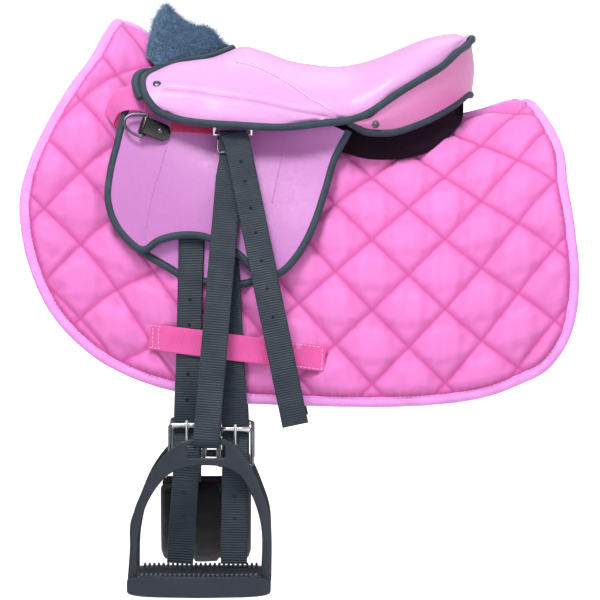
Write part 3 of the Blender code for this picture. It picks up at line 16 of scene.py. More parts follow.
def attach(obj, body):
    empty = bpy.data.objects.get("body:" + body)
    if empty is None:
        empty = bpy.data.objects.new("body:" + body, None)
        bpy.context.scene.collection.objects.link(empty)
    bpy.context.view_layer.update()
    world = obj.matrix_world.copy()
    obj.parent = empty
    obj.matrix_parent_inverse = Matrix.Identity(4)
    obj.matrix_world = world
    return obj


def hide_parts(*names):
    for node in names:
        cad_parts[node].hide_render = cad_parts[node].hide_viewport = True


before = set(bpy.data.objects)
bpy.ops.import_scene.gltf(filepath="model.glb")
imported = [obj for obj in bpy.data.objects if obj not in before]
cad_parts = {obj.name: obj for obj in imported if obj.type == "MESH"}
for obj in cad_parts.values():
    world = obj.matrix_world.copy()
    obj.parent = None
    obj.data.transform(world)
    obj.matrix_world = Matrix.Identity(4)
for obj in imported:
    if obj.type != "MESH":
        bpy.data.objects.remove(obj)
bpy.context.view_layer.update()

# The pony that the pieces lie on
BARREL_HALF_WIDTH = 0.178
BARREL_WIDEST_DROP = 0.300
BELLY_DEPTH = 0.105
WITHER_RISE = 0.090
# Rows of: place along the back as a share of the pad's length, then the share of the size.
BACK_LINE_SHARES = [
    (-0.52, 1.12), (-0.35, 1.00), (-0.286, 0.745), (-0.196, 0.43), (-0.089, 0.18), (0, 0),
    (0.124, -0.122), (0.205, -0.133), (0.286, -0.078), (0.338, 0.014), (0.393, 0.141), (0.481, 0.28),
]
BARREL_WIDTH_SHARES = [
    (-0.52, 0.62), (-0.35, 0.66), (-0.27, 0.725), (-0.11, 0.90), (0, 0.98), (0.15, 1.02), (0.48, 1.0),
]

# The saddle's own widths, which go with the pony's
SEAT_SIDE_SHARE = 0.7416
FLAP_HANG_SHARE = 0.833
PANEL_SIDE_SHARE = 0.682
SEAT_HALF_WIDTH = BARREL_HALF_WIDTH * SEAT_SIDE_SHARE
NOTCH_HALF_WIDTH = SEAT_HALF_WIDTH / 2
PANEL_HALF_WIDTH = SEAT_HALF_WIDTH * PANEL_SIDE_SHARE
FLAP_HANG = SEAT_HALF_WIDTH * FLAP_HANG_SHARE

# Clearances and repeated sections
GAP = 0.0003
WEB_WIDTH = 0.025
WEB_THICKNESS = 0.0018
PIPING_RADIUS = 0.0036

# Quilted pad
PAD_LENGTH = 0.532
PAD_FRONT = -0.2765
PAD_HEIGHT = 0.3735
PAD_BOTTOM = -0.2717
PAD_THICKNESS = 0.012
PAD_CHANNEL_THICKNESS = 0.0065
QUILT_CELL = 0.049
QUILT_TURN = math.radians(45)
QUILT_FINENESS = 12
PAD_CENTRE = (PAD_FRONT + PAD_LENGTH / 2, PAD_HEIGHT / 2)
PAD_EDGE_STATIONS = 50
BINDING_RADIUS = 0.0046
SPINE_TAPE_WIDTH = 0.030
SPINE_TAPE_THICKNESS = 0.0015
# The near half seen from the side: shares of the length from the front and of the height.
PAD_OUTLINE_SHARES = [
    (0.170, 1.000), (0.148, 0.952), (0.127, 0.898), (0.080, 0.802), (0.048, 0.723),
    (0.016, 0.623), (0.000, 0.529), (0.004, 0.438), (0.021, 0.341), (0.055, 0.239),
    (0.096, 0.170), (0.157, 0.104), (0.239, 0.053), (0.284, 0.036), (0.405, 0.008),
    (0.516, 0.003), (0.648, 0.000), (0.786, 0.013), (0.877, 0.048), (0.939, 0.092),
    (0.980, 0.170), (0.993, 0.229), (1.000, 0.336), (0.993, 0.458), (0.980, 0.578),
    (0.975, 0.651), (0.959, 0.707), (0.939, 0.753), (0.912, 0.794),
]

# Lifts of the layers over the pony
UNDER_FLAP_LIFT = 0.0142
UNDER_FLAP_THICKNESS = 0.0026
BILLET_LIFT = 0.0176
FLAP_LIFT = 0.0230
FLAP_THICKNESS = 0.0034
KEEPER_LIFT = 0.0211

# Flaps: how far from the middle they hang before they meet the pad
FLAP_LENGTH = 0.229
FLAP_FRONT = -0.192
FLAP_DROP = 0.1653
FLAP_BOTTOM = -0.1558
FLAP_HANG_BLEND = 0.012
FLAP_HANG_SHARES = [
    (-0.36, 0.70), (-0.27, 0.76), (-0.18, 0.83), (-0.09, 0.91), (0, 0.965), (0.06, 1.0), (0.5, 1.0),
]
FLAP_OUTLINE_SHARES = [
    (0.071, 1.000), (0.041, 0.822), (0.008, 0.626), (0.000, 0.483), (0.021, 0.374),
    (0.075, 0.264), (0.149, 0.195), (0.207, 0.247), (0.278, 0.276), (0.353, 0.282),
    (0.407, 0.270), (0.473, 0.230), (0.544, 0.172), (0.602, 0.086), (0.656, 0.040),
    (0.718, 0.069), (0.780, 0.155), (0.822, 0.247), (0.867, 0.391), (0.900, 0.534),
    (0.942, 0.724), (1.000, 0.879),
]
UNDER_FLAP_OUTLINE_SHARES = [
    (0.071, 0.960), (0.041, 0.822), (0.008, 0.626), (0.000, 0.483), (0.021, 0.374),
    (0.075, 0.264), (0.145, 0.178), (0.241, 0.098), (0.332, 0.029), (0.448, 0.006),
    (0.564, 0.000), (0.614, 0.017), (0.718, 0.069), (0.780, 0.155), (0.822, 0.247),
    (0.867, 0.391), (0.900, 0.534), (0.942, 0.724), (0.985, 0.860),
]
FLAP_TOP_SHARES = [(0.900, 0.930), (0.700, 0.954), (0.300, 0.954), (0.150, 0.985)]
UNDER_FLAP_INSET = 0.004

# Seat
SEAT_LENGTH = 0.3126
SEAT_FRONT = -0.1596
SEAT_HEIGHT = 0.0893
SEAT_BOTTOM = -0.0076
SEAT_THICKNESS = 0.0042
POMMEL_BULGE = 0.014
POMMEL_BULGE_REACH = 0.035
SEAT_ROW_SHARES = [
    0.060, 0.085, 0.120, 0.160, 0.205, 0.250, 0.299, 0.350, 0.410, 0.480, 0.550, 0.615,
    0.675, 0.735, 0.795, 0.850, 0.895, 0.932, 0.962, 0.990,
]
SEAT_CREST_SHARES = [
    (0.046, 0.585), (0.094, 0.680), (0.152, 0.713), (0.210, 0.745), (0.261, 0.809),
    (0.299, 0.862), (0.374, 0.809), (0.447, 0.713), (0.520, 0.670), (0.581, 0.649),
    (0.644, 0.670), (0.720, 0.745), (0.793, 0.851), (0.866, 0.947), (0.927, 0.990),
    (0.964, 0.990), (0.991, 0.950),
]
SEAT_EDGE_SHARES = [
    (0.046, 0.165), (0.116, 0.085), (0.204, 0.043), (0.313, 0.021), (0.416, 0.000),
    (0.498, 0.021), (0.581, 0.064), (0.638, 0.075), (0.684, 0.149), (0.757, 0.330),
    (0.830, 0.489), (0.903, 0.638), (0.936, 0.734), (0.964, 0.830), (0.991, 0.915),
]
SEAT_WIDTH_SHARES = [
    (0.046, 0.856), (0.116, 0.894), (0.204, 0.985), (0.300, 1.000), (0.446, 0.985),
    (0.581, 0.932), (0.641, 0.900), (0.717, 0.865), (0.792, 0.800), (0.866, 0.690),
    (0.926, 0.525), (0.964, 0.356), (0.991, 0.155),
]
NOTCH_WIDTH_SHARES = [
    (0.046, 1.00), (0.094, 0.85), (0.152, 0.72), (0.210, 0.55), (0.261, 0.32), (0.299, 0.0),
]
SEAT_ROUNDNESS_SHARES = [(0.046, 1.7), (0.300, 1.7), (0.580, 1.9), (0.800, 2.2), (0.991, 2.3)]
SEAT_COLUMNS = 7
SEAT_PIPING_CLEARANCE = 0.0018

# Cantle facing: lower edge, from its near tip round to the middle of the back
FACING_THICKNESS = 0.003
FACING_TUCK = 0.003
FACING_CLEARANCE = 0.0022
FACING_LOW_SHARES = [
    (0.690, -0.050), (0.757, -0.053), (0.830, 0.021), (0.903, 0.138), (0.950, 0.235), (0.991, 0.345),
]
FACING_STATIONS = 12

# Panels
PANEL_DEPTH = 0.0185
PANEL_GULLET = 0.024
PANEL_NOTCH_MARGIN = 0.014
PANEL_CROWN = 0.003
PANEL_FACING_MARGIN = 0.0125
PANEL_FOOT_SPREAD = 0.007
PANEL_ROW_SHARES = [0.11, 0.19, 0.28, 0.37, 0.46, 0.55, 0.64, 0.73, 0.81, 0.88, 0.935, 0.968]
PANEL_WIDTH_SHARES = [
    (0.11, 0.91), (0.19, 0.90), (0.28, 0.90), (0.50, 0.99), (0.70, 1.0), (0.83, 0.95), (0.90, 0.84),
    (0.935, 0.68), (0.968, 0.43),
]

# Pommel fleece: how high it rises over the pad and how wide its foot is, from its front to its rear
FLEECE_FRONT_SHARE = 0.0515
FLEECE_REAR_SHARE = 0.262
FLEECE_SIDE_REACH_SHARE = 0.043
FLEECE_HEIGHT = 0.0375
FLEECE_SLOPE_POWER = 0.9
FLEECE_CLEARANCE = 0.0021
FLEECE_RISE_SHARES = [
    (0, 0.62), (0.09, 0.98), (0.18, 0.93), (0.40, 0.83), (0.54, 0.88), (0.66, 0.97), (0.80, 0.93),
    (0.90, 0.76), (1, 0.72),
]
FLEECE_FOOT_SHARES = [
    (0, 0.74), (0.13, 0.80), (0.27, 0.74), (0.42, 0.63), (0.57, 0.55), (0.73, 0.42), (0.85, 0.30),
    (1, 0.14),
]

# Hardware under the skirts
BAR_RADIUS = 0.0022
BAR_DROP = 0.014
BAR_LIFT = 0.033
BAR_CENTRE = -0.0735
STUD_RADIUS = 0.0040
STUD_HEIGHT = 0.0028
# Along the seat, and from the notch to the skirt's edge
STUD_FRONT_SHARES = (0.0766, 0.5515)
STUD_REAR_HEIGHT_SHARE = 0.38
DEE_WIRE_RADIUS = 0.0014
DEE_HALF_LENGTH = 0.0115
DEE_REACH = 0.020
DEE_TILT = math.radians(17)
DEE_PLACE = (-0.1575, -0.006)
DEE_TAB_WIDTH = 0.017
DEE_TAB_LENGTH = 0.025
DEE_TAB_THICKNESS = 0.0026
DEE_LIFT = 0.0326
DEE_TAB_END_LIFT = 0.0272
RIVET_RADIUS = 0.0026
RIVET_HEIGHT = 0.0012

# Billets, girth and its buckles
BILLET_THICKNESS = 0.0026
BUCKLE_PLACES = {"front": (-0.117, -0.290), "rear": (-0.071, -0.2935)}
BILLET_TOPS = {"front": (-0.1125, -0.105), "rear": (-0.081, -0.105)}
BILLET_ENDS = {"front": (-0.1235, -0.421), "rear": (-0.0722, -0.421)}
BUCKLE_INSIDE_WIDTH = 0.0285
BUCKLE_HEIGHT = 0.034
BUCKLE_WIRE_RADIUS = 0.0018
BUCKLE_LIFT = 0.0195
ROLLER_RADIUS = 0.0029
TONGUE_RADIUS = 0.0013
HOLE_SHARE = 0.56
GIRTH_LOOP_LENGTH = 0.010
GIRTH_WIDTH = 0.0855
GIRTH_CENTRE = -0.0993
GIRTH_TOP = -0.3440
GIRTH_THICKNESS = 0.012
GIRTH_LIFT = 0.0045
GIRTH_RIDGE_WIDTH = 0.025
GIRTH_RIDGE_HEIGHT = 0.0022
GIRTH_WEB_LIFT = 0.0020

# Stirrup leather
LEATHER_EYE = (-0.0985, -0.3041)
LEATHER_EYE_LIFT = 0.0336
LEATHER_BUCKLE_DROP = 0.005
LEATHER_BUCKLE_HEIGHT = 0.017
LEATHER_BUCKLE_STAND = 0.005
LEATHER_BUCKLE_RADIUS = 0.0010
TAIL_START = -0.0655
TAIL_END = (-0.0138, -0.289)
TAIL_LIFT_LOW = 0.031

# Stirrup
IRON_WIDTH = 0.1368
IRON_HEIGHT = 0.151
IRON_FRONT = -0.1738
IRON_BOTTOM = -0.453
IRON_DEPTH = 0.011
TREAD_DEPTH = 0.042
TREAD_THICKNESS = 0.021
TREAD_RIB_HEIGHT = 0.0022
TREAD_RIBS = 13
EYE_HALF_WIDTH = 0.018
EYE_HEIGHT = 0.0125
EYE_RIM_HALF_HEIGHT = 0.0037
EYE_RIM_HALF_DEPTH = 0.0040
IRON_OUTSIDE_SHARES = [
    (0.000, 0.057), (0.021, 0.308), (0.028, 0.484), (0.076, 0.597), (0.174, 0.792), (0.271, 0.906),
    (0.368, 0.975), (0.465, 1.000), (0.674, 1.000), (0.778, 0.943), (0.854, 0.836), (0.931, 0.679),
    (0.986, 0.528), (1.000, 0.352), (1.000, 0.057),
]
IRON_INSIDE_SHARES = [
    (0.069, 0.120), (0.083, 0.396), (0.132, 0.572), (0.222, 0.711), (0.299, 0.780), (0.431, 0.824),
    (0.562, 0.833), (0.688, 0.818), (0.785, 0.767), (0.868, 0.642), (0.924, 0.484), (0.931, 0.120),
]

# Pad's own straps
KEEPER_FRONT = (-0.152, -0.206)
KEEPER_REAR = (0.0143, -0.2265)
FRONT_STRAP_WIDTH = 0.021
FRONT_STRAP_THICKNESS = 0.002

OVERRUN = 0.01
WELD = GAP / 30
MIRRORED = np.array((1.0, -1.0, 1.0))


# Materials


def shader_node(tree, kind, slots, output=0, **settings):
    """A new node's output. slots gives its inputs as numbers, colours or Values."""
    node = tree.nodes.new("ShaderNode" + kind)
    for key, value in settings.items():
        setattr(node, key, value)
    for slot, value in slots.items():
        if isinstance(value, Value):
            tree.links.new(value.socket, node.inputs[slot])
        else:
            node.inputs[slot].default_value = value
    return Value(tree, node.outputs[output])


class Value:
    """A socket that adds, multiplies and mixes with others."""

    def __init__(self, tree, socket):
        self.tree = tree
        self.socket = socket

    def __add__(self, other):
        return shader_node(self.tree, "Math", {0: self, 1: other}, operation="ADD")

    def __mul__(self, other):
        return shader_node(self.tree, "Math", {0: self, 1: other}, operation="MULTIPLY")

    def wave(self, pitch):
        """A sine of this pitch, from 0 to 1."""
        return (self * (2 * math.pi / pitch)).sine() * 0.5 + 0.5

    def sine(self):
        return shader_node(self.tree, "Math", {0: self}, operation="SINE")

    def ranged(self, low, high, to_low=0.0, to_high=1.0):
        slots = {"Value": self, "From Min": low, "From Max": high, "To Min": to_low, "To Max": to_high}
        return shader_node(self.tree, "MapRange", slots)

    def blend(self, low, high):
        """A colour between two by this factor. Each is given as numbers or as a Value."""
        low, high = (colour if isinstance(colour, Value) else (*colour, 1) for colour in (low, high))
        return shader_node(self.tree, "Mix", {0: self, 6: low, 7: high}, 2, data_type="RGBA")


class Finish:
    """One material under construction. Its patterns follow the piece itself."""

    def __init__(self, name, colour, roughness, metallic=0.0, **sockets):
        self.material = bpy.data.materials.new(name)
        self.material.use_nodes = True
        self.material.diffuse_color = (*colour, 1)
        self.tree = self.material.node_tree
        self.shader = self.tree.nodes["Principled BSDF"]
        sockets.update(Base_Color=(*colour, 1), Roughness=roughness, Metallic=metallic)
        for key, value in sockets.items():
            self.shader.inputs[key.replace("_", " ")].default_value = value
        self.places = shader_node(self.tree, "TexCoord", {}, "Object")
        self.relief = None

    def pattern(self, axis):
        """Place on the flat pattern in metres: 0 across the piece, 1 along it."""
        flat = shader_node(self.tree, "UVMap", {}, "UV", uv_map="flat")
        return shader_node(self.tree, "SeparateXYZ", {0: flat}, axis)

    def attribute(self, name):
        return shader_node(self.tree, "Attribute", {}, "Fac", attribute_name=name)

    def noise(self, scale, detail=3.0, roughness=0.5, stretch=None):
        places = self.places
        if stretch:
            places = shader_node(self.tree, "Mapping", {"Vector": places, "Scale": stretch})
        slots = {"Vector": places, "Scale": scale, "Detail": detail, "Roughness": roughness}
        return shader_node(self.tree, "TexNoise", slots, "Fac")

    def cells(self, scale):
        slots = {"Vector": self.places, "Scale": scale}
        return shader_node(self.tree, "TexVoronoi", slots, "Distance", feature="DISTANCE_TO_EDGE")

    def drive(self, name, value):
        self.tree.links.new(value.socket, self.shader.inputs[name])

    def colour(self, value):
        self.drive("Base Color", value)

    def rough(self, value, low, high):
        self.drive("Roughness", value.ranged(0.3, 0.7, low, high))

    def bump(self, value, strength, distance):
        slots = {"Height": value, "Strength": strength, "Distance": distance}
        if self.relief:
            slots["Normal"] = self.relief
        self.relief = shader_node(self.tree, "Bump", slots, "Normal")
        self.drive("Normal", self.relief)


def shade(colour, factor):
    return tuple(min(1.0, c * factor) for c in colour)


def quilt_cloth(name, colour):
    """Woven cloth with painted shade in the sewn channels and a painted highlight on the puffs' tops."""
    made = Finish(name, colour, 0.66, Sheen_Weight=0.35, Sheen_Roughness=0.4, Sheen_Tint=(1.0, 0.75, 0.95, 1))
    puff = made.attribute("puff")
    # Painted shade: the colour in the sewn channels, where the puff mark is low; the puffs' tops get a
    # painted highlight. A noise mixes in a duller tone of the same.
    sewn = (colour[0] * 0.68, colour[1] * 0.30, colour[2] * 0.52)
    body = puff.blend(sewn, shade(colour, 1.06))
    duller_tone = puff.blend(sewn, shade(colour, 0.93))
    made.colour(made.noise(22, 2).ranged(0.3, 0.7).blend(body, duller_tone))
    made.rough(made.noise(60, 2), 0.58, 0.74)
    made.bump(made.noise(70, 3, 0.55), 0.22, 0.004)
    turn = 2 * math.pi / 0.0011
    weave = (made.pattern(0) * turn).sine() * (made.pattern(1) * turn).sine()
    made.bump(weave * 0.5 + 0.5, 0.16, 0.0004)
    return made.material


def tape(name, colour, pitch=0.0013, deep=0.5, rough=0.7, dark=0.6, sheen=0.2):
    """Ribbed webbing or grosgrain: ribs across, a finer twist along, painted highlight on rib crests, painted
    shade between.
    """
    made = Finish(name, colour, rough, Sheen_Weight=sheen)
    ribs = made.pattern(1).wave(pitch)
    threads = made.pattern(0).wave(0.0009)
    broad = made.noise(55)
    cloth = ribs * 0.7 + threads * 0.3
    # Both tones paint the ribs lighter on their crests and darker (by dark) in their hollows; a broad noise
    # mixes the two
    main_tone = cloth.blend(shade(colour, dark), shade(colour, 1.15))
    patch_tone = cloth.blend(shade(colour, dark * 0.8), colour)
    made.colour(broad.ranged(0.35, 0.75).blend(main_tone, patch_tone))
    made.rough(broad, rough - 0.08, rough + 0.1)
    made.bump(ribs, deep, 0.0006)
    made.bump(threads, deep * 0.4, 0.0003)
    made.bump(made.noise(900, 2), 0.15, 0.0003)
    return made.material


def leather_like(name, colour, rough=0.42):
    """Synthetic leather: fine pebbled grain, soft sheen, slightly uneven colour."""
    made = Finish(name, colour, rough, Coat_Weight=0.06, Coat_Roughness=0.35, Sheen_Weight=0.12)
    broad = made.noise(12).ranged(0.3, 0.7)
    fine = made.noise(260, 3, 0.6)
    light = broad.blend(shade(colour, 0.96), shade(colour, 1.04))
    deep = broad.blend(shade(colour, 0.91), shade(colour, 1.0))
    body = fine.ranged(0.35, 0.65).blend(light, deep)
    # The seam mark darkens the leather in the seat's fold crease, a painted shade, and faintly along the sewn
    # seam
    made.colour(made.attribute("seam").blend(body, shade(colour, 0.62)))
    made.rough(fine, rough - 0.05, rough + 0.12)
    made.bump(made.cells(950), 0.10, 0.0003)
    made.bump(made.noise(130, 2), 0.05, 0.001)
    return made.material


def bound_edge(name, colour):
    """Piping cloth: a tight braid with painted highlight on its ridges and painted shade between, and painted
    highlight in patches.
    """
    made = Finish(name, colour, 0.6, Sheen_Weight=0.06, Specular_IOR_Level=0.3)
    braid = (made.pattern(1) + made.pattern(0) * 0.8).wave(0.0016)
    broad = made.noise(90)
    body = braid.blend(shade(colour, 0.62), shade(colour, 1.45))
    # The lighter tone here stands in for the highlight along the piping's top: a painted highlight, scattered
    # by noise
    patch_tone = braid.blend(shade(colour, 1.1), shade(colour, 2.3))
    made.colour(broad.ranged(0.4, 0.8).blend(body, patch_tone))
    made.rough(broad, 0.45, 0.66)
    made.bump(braid, 0.45, 0.0004)
    return made.material


def plain_cloth(name, colour, pitch, rough, light, sheen):
    made = Finish(name, colour, rough, Sheen_Weight=sheen, Sheen_Roughness=0.5, Specular_IOR_Level=0.15)
    broad = made.noise(40)
    fine = made.noise(700, 2, 0.6).ranged(0.3, 0.7)
    body = fine.blend(shade(colour, 0.7), shade(colour, 1.5))
    made.colour(broad.ranged(0.45, 0.85).blend(body, fine.blend(colour, shade(colour, light))))
    made.rough(broad, rough - 0.07, rough + 0.05)
    made.bump(made.cells(1 / pitch), 0.3, 0.0004)
    made.bump(made.noise(120), 0.15, 0.0015)
    return made.material


def fleece_pile(name, colour):
    """Pile whose fibres are painted lighter at the tip: a painted highlight of the rim-lit hairs."""
    made = Finish(name, colour, 0.95, Sheen_Weight=0.6, Sheen_Roughness=0.6, Sheen_Tint=(0.7, 0.8, 0.95, 1))
    fine = made.noise(420, 4, 0.7)
    tuft = fine.ranged(0.32, 0.68)
    body = tuft.blend(shade(colour, 0.45), shade(colour, 1.7))
    paler = tuft.blend(shade(colour, 0.6), shade(colour, 2.1))
    body = made.noise(45).ranged(0.3, 0.7).blend(body, paler)
    made.colour(made.attribute("tip").blend(body, shade(colour, 3.4)))
    made.rough(fine, 0.85, 1.0)
    made.bump(fine, 0.6, 0.002)
    return made.material


def moulded(name, colour, rough, grain, coat=0.0, light=1.6):
    """Moulded or painted surface with a fine speckle and lighter scuffed patches scattered by noise."""
    made = Finish(name, colour, rough, Coat_Weight=coat, Coat_Roughness=0.15)
    fine = made.noise(grain, 3, 0.6)
    body = fine.ranged(0.35, 0.7).blend(shade(colour, 0.8), shade(colour, light))
    scuffed = fine.ranged(0.3, 0.7).blend(colour, shade(colour, light * 1.25))
    made.colour(made.noise(35, 4).ranged(0.5, 0.8).blend(body, scuffed))
    made.rough(fine, rough - 0.07, rough + 0.12)
    made.bump(fine, 0.18, 0.0005)
    return made.material


def metal(name, colour, rough, dark):
    """Brushed along X, with duller spots."""
    made = Finish(name, colour, rough, 1.0)
    brushed = made.noise(240, 4, 0.6, stretch=(1, 6, 6))
    made.colour(made.noise(80).ranged(0.45, 0.8).blend(colour, shade(colour, dark)))
    made.rough(brushed, rough * 0.7, rough * 1.5)
    made.bump(brushed, 0.06, 0.0003)
    return made.material


def thread(name, colour):
    made = Finish(name, colour, 0.7, Sheen_Weight=0.3)
    twist = made.noise(1500, 2)
    made.colour(twist.ranged(0.3, 0.7).blend(shade(colour, 0.8), shade(colour, 1.12)))
    made.bump(twist, 0.3, 0.0002)
    return made.material


# Each material's kind, colour and what else that kind takes
FINISHES = {
    "pink_quilt": (quilt_cloth, (0.84, 0.205, 0.60)),
    "light_pink_binding": (tape, (0.97, 0.35, 0.86), 0.0012, 0.25, 0.62, 0.86),
    "hot_pink_web": (tape, (0.98, 0.105, 0.44), 0.0014, 0.4, 0.6, 0.72),
    # The hot pink web in a lighter copy for the front strap: a painted highlight
    "fresh_pink_web": (tape, (0.99, 0.165, 0.57), 0.0014, 0.4, 0.6, 0.72),
    "lilac_leather": (leather_like, (0.78, 0.37, 0.74)),
    # The seat's lilac leather in a darker copy for the flaps: painted shade
    "deep_lilac": (leather_like, (0.545, 0.19, 0.53)),
    "pink_leather": (leather_like, (0.76, 0.25, 0.55)),
    "slate_piping": (bound_edge, (0.026, 0.044, 0.062)),
    "black_web": (tape, (0.012, 0.027, 0.051), 0.0024, 0.65, 0.55, 0.36, 0.02),
    "plum_cloth": (plain_cloth, (0.009, 0.002, 0.009), 0.0010, 0.85, 2.4, 0.04),
    "blue_grey_fleece": (fleece_pile, (0.062, 0.122, 0.205)),
    "black_padding": (plain_cloth, (0.0035, 0.004, 0.006), 0.0012, 0.6, 2.0, 0.03),
    "black_composite": (moulded, (0.012, 0.018, 0.030), 0.42, 900),
    "black_leather": (moulded, (0.002, 0.002, 0.003), 0.22, 600, 0.25, 1.3),
    "dark_steel": (metal, (0.16, 0.17, 0.19), 0.28, 0.6),
    "bright_steel": (metal, (0.78, 0.79, 0.82), 0.2, 0.75),
    "pink_thread": (thread, (0.92, 0.50, 0.86)),
    "pale_thread": (thread, (0.97, 0.76, 0.96)),
    "mauve_thread": (thread, (0.62, 0.20, 0.50)),
    "black_thread": (thread, (0.02, 0.022, 0.028)),
    # The pink web darkened to crimson: painted shade under the skirt and below the front strap
    "crimson_web": (tape, (0.70, 0.03, 0.16), 0.0014, 0.4, 0.65, 0.6),
}
MATERIALS = {name: kind(name, *values) for name, (kind, *values) in FINISHES.items()}


# Curves and tables


def smooth(table, at):
    """Value of the smooth curve through a table's (place, value) rows."""
    places, values = np.array(table, float).T
    slopes = np.gradient(values, places)
    at = np.clip(at, places[0], places[-1])
    row = np.clip(np.searchsorted(places, at, side="right") - 1, 0, len(places) - 2)
    step = places[row + 1] - places[row]
    t = (at - places[row]) / step
    rise = 3 * t**2 - 2 * t**3
    bend = step * (slopes[row] * (t**3 - 2 * t**2 + t) + slopes[row + 1] * (t**3 - t**2))
    return values[row] * (1 - rise) + values[row + 1] * rise + bend


def travelled(path):
    """How far along a path each of its points is."""
    return np.concatenate([[0], np.cumsum(np.linalg.norm(np.diff(path, axis=0), axis=1))])


def through(points, count, closed=False):
    """Evenly spaced points along the smooth curve through the given ones."""
    points = np.array(points, float)
    if closed:
        points = np.vstack([points[-2:], points, points[:3]])
    reach = travelled(points)
    start, end = (reach[2], reach[-3]) if closed else (0, reach[-1])
    at = np.linspace(start, end, count, endpoint=not closed)
    return np.column_stack([smooth(np.column_stack([reach, axis]), at) for axis in points.T])


def scaled(shares, front, length, bottom, height):
    """Side-view outline in metres from its shares."""
    return [(front + length * u, bottom + height * v) for u, v in shares]


def inset(points, distance, closed=True):
    """A flat outline, counter-clockwise or clockwise, moved inwards."""
    points = np.array(points, float)
    ahead = np.roll(points, -1, axis=0)
    behind = np.roll(points, 1, axis=0)
    if not closed:
        ahead[-1] = points[-1]
        behind[0] = points[0]
    area = np.sum(points[:, 0] * np.roll(points[:, 1], -1) - points[:, 1] * np.roll(points[:, 0], -1))
    along = ahead - behind
    along /= np.linalg.norm(along, axis=1)[:, None]
    inwards = np.column_stack([-along[:, 1], along[:, 0]]) * math.copysign(1, area)
    return points + inwards * distance


def reaching(end, inside, level):
    """Where the line from an inside point through the end one comes to a level."""
    share = (level - end[1]) / (end[1] - inside[1])
    return (end[0] + (end[0] - inside[0]) * share, level)


def half_width(x):
    return BARREL_HALF_WIDTH * smooth(BARREL_WIDTH_SHARES, x / PAD_LENGTH)


def back_height(x):
    return WITHER_RISE * smooth(BACK_LINE_SHARES, x / PAD_LENGTH)


def body_side(x, z, lift):
    """Distance from the middle of the layer at this height above the widest level or below it."""
    tall = np.where(z > -BARREL_WIDEST_DROP, back_height(x) + BARREL_WIDEST_DROP, BELLY_DEPTH) + lift
    share = np.clip((z + BARREL_WIDEST_DROP) / tall, -1, 1)
    return (half_width(x) + lift) * np.sqrt(1 - share**2)


def body_top(x, y, lift):
    """Height of the layer at this distance from the middle."""
    tall = back_height(x) + BARREL_WIDEST_DROP + lift
    return tall * np.sqrt(np.clip(1 - (y / (half_width(x) + lift)) ** 2, 0, 1)) - BARREL_WIDEST_DROP


def hang_side(x, z, lift):
    """The same for a piece that hangs from the saddle till it meets the body's curve."""
    lying = body_side(x, z, lift)
    hanging = FLAP_HANG * smooth(FLAP_HANG_SHARES, x / PAD_LENGTH) + lift - FLAP_LIFT
    return (lying + hanging + np.sqrt((lying - hanging) ** 2 + FLAP_HANG_BLEND**2)) / 2


def near(x, z, lift, side=body_side):
    """Point on the pony's left, which faces -Y."""
    return (x, -float(side(x, z, lift)), z)


def plumb_side(x, z, lift):
    """Below the widest level, straight down."""
    return hang_side(x, max(z, -BARREL_WIDEST_DROP), lift)


def level_side(x, z, lift, side=body_side):
    """The direction along the body's surface that is level at this point."""
    ahead = np.array(near(x + GAP, z, lift, side))
    behind = np.array(near(x - GAP, z, lift, side))
    return (ahead - behind) / np.linalg.norm(ahead - behind)


def outward(x, z, lift, side=body_side):
    """The direction square to the body's surface at this point."""
    above = np.array(near(x, z + GAP, lift, side))
    below = np.array(near(x, z - GAP, lift, side))
    square = np.cross(level_side(x, z, lift, side), above - below)
    return square / np.linalg.norm(square)


ARC_ANGLES = np.linspace(0, math.pi / 2, 181)


def arc_reach(x):
    """Distance along the cross section at each of the angles from the top."""
    wide = half_width(x)
    tall = back_height(x) + BARREL_WIDEST_DROP
    rate = np.hypot(wide * np.cos(ARC_ANGLES), tall * np.sin(ARC_ANGLES))
    steps = (rate[1:] + rate[:-1]) / 2 * np.diff(ARC_ANGLES)
    return np.concatenate([[0], np.cumsum(steps)])


def unrolled(x, z):
    """Distance down the side of the body, from the middle of the back, of this height."""
    share = (z + BARREL_WIDEST_DROP) / (back_height(x) + BARREL_WIDEST_DROP)
    return float(np.interp(math.acos(min(1, max(-1, share))), ARC_ANGLES, arc_reach(x)))


def draped(x, down, lift):
    """Where a flat pattern's point lies on the pony's left side."""
    angle = float(np.interp(down, arc_reach(x), ARC_ANGLES))
    wide = half_width(x) + lift
    tall = back_height(x) + BARREL_WIDEST_DROP + lift
    return (x, -wide * math.sin(angle), tall * math.cos(angle) - BARREL_WIDEST_DROP)


# Pieces and where they go


def stand(name, data):
    """A new object in the scene."""
    obj = bpy.data.objects.new(name, data)
    bpy.context.scene.collection.objects.link(obj)
    return obj


def coated(obj, material):
    """Gives a piece its only material, and keeps that one's name on it."""
    obj.data.materials.clear()
    obj.data.materials.append(MATERIALS[material])
    obj["finish"] = material
    return obj


def link(name, mesh, material=None):
    obj = stand(name, mesh)
    return coated(obj, material) if material else obj


def rounded(obj, degrees=35):
    """Smooth shading with edges kept above this angle."""
    obj.data.shade_smooth()
    obj.data.set_sharp_from_angle(angle=math.radians(degrees))
    return obj


def placed(obj, body, *nodes):
    """The finished piece, riding on its body and standing for these CAD nodes."""
    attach(obj, body)
    if nodes:
        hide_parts(*nodes)
    return obj


def other_side(obj):
    """The same piece on the pony's right, with its place in its mesh."""
    mesh = obj.data.copy()
    mesh.transform(Matrix.Diagonal((*MIRRORED, 1)))
    mesh.flip_normals()
    name = obj.name.replace("left", "right")
    mesh.name = name
    copy = stand(name, mesh)
    copy["finish"] = obj["finish"]
    return copy


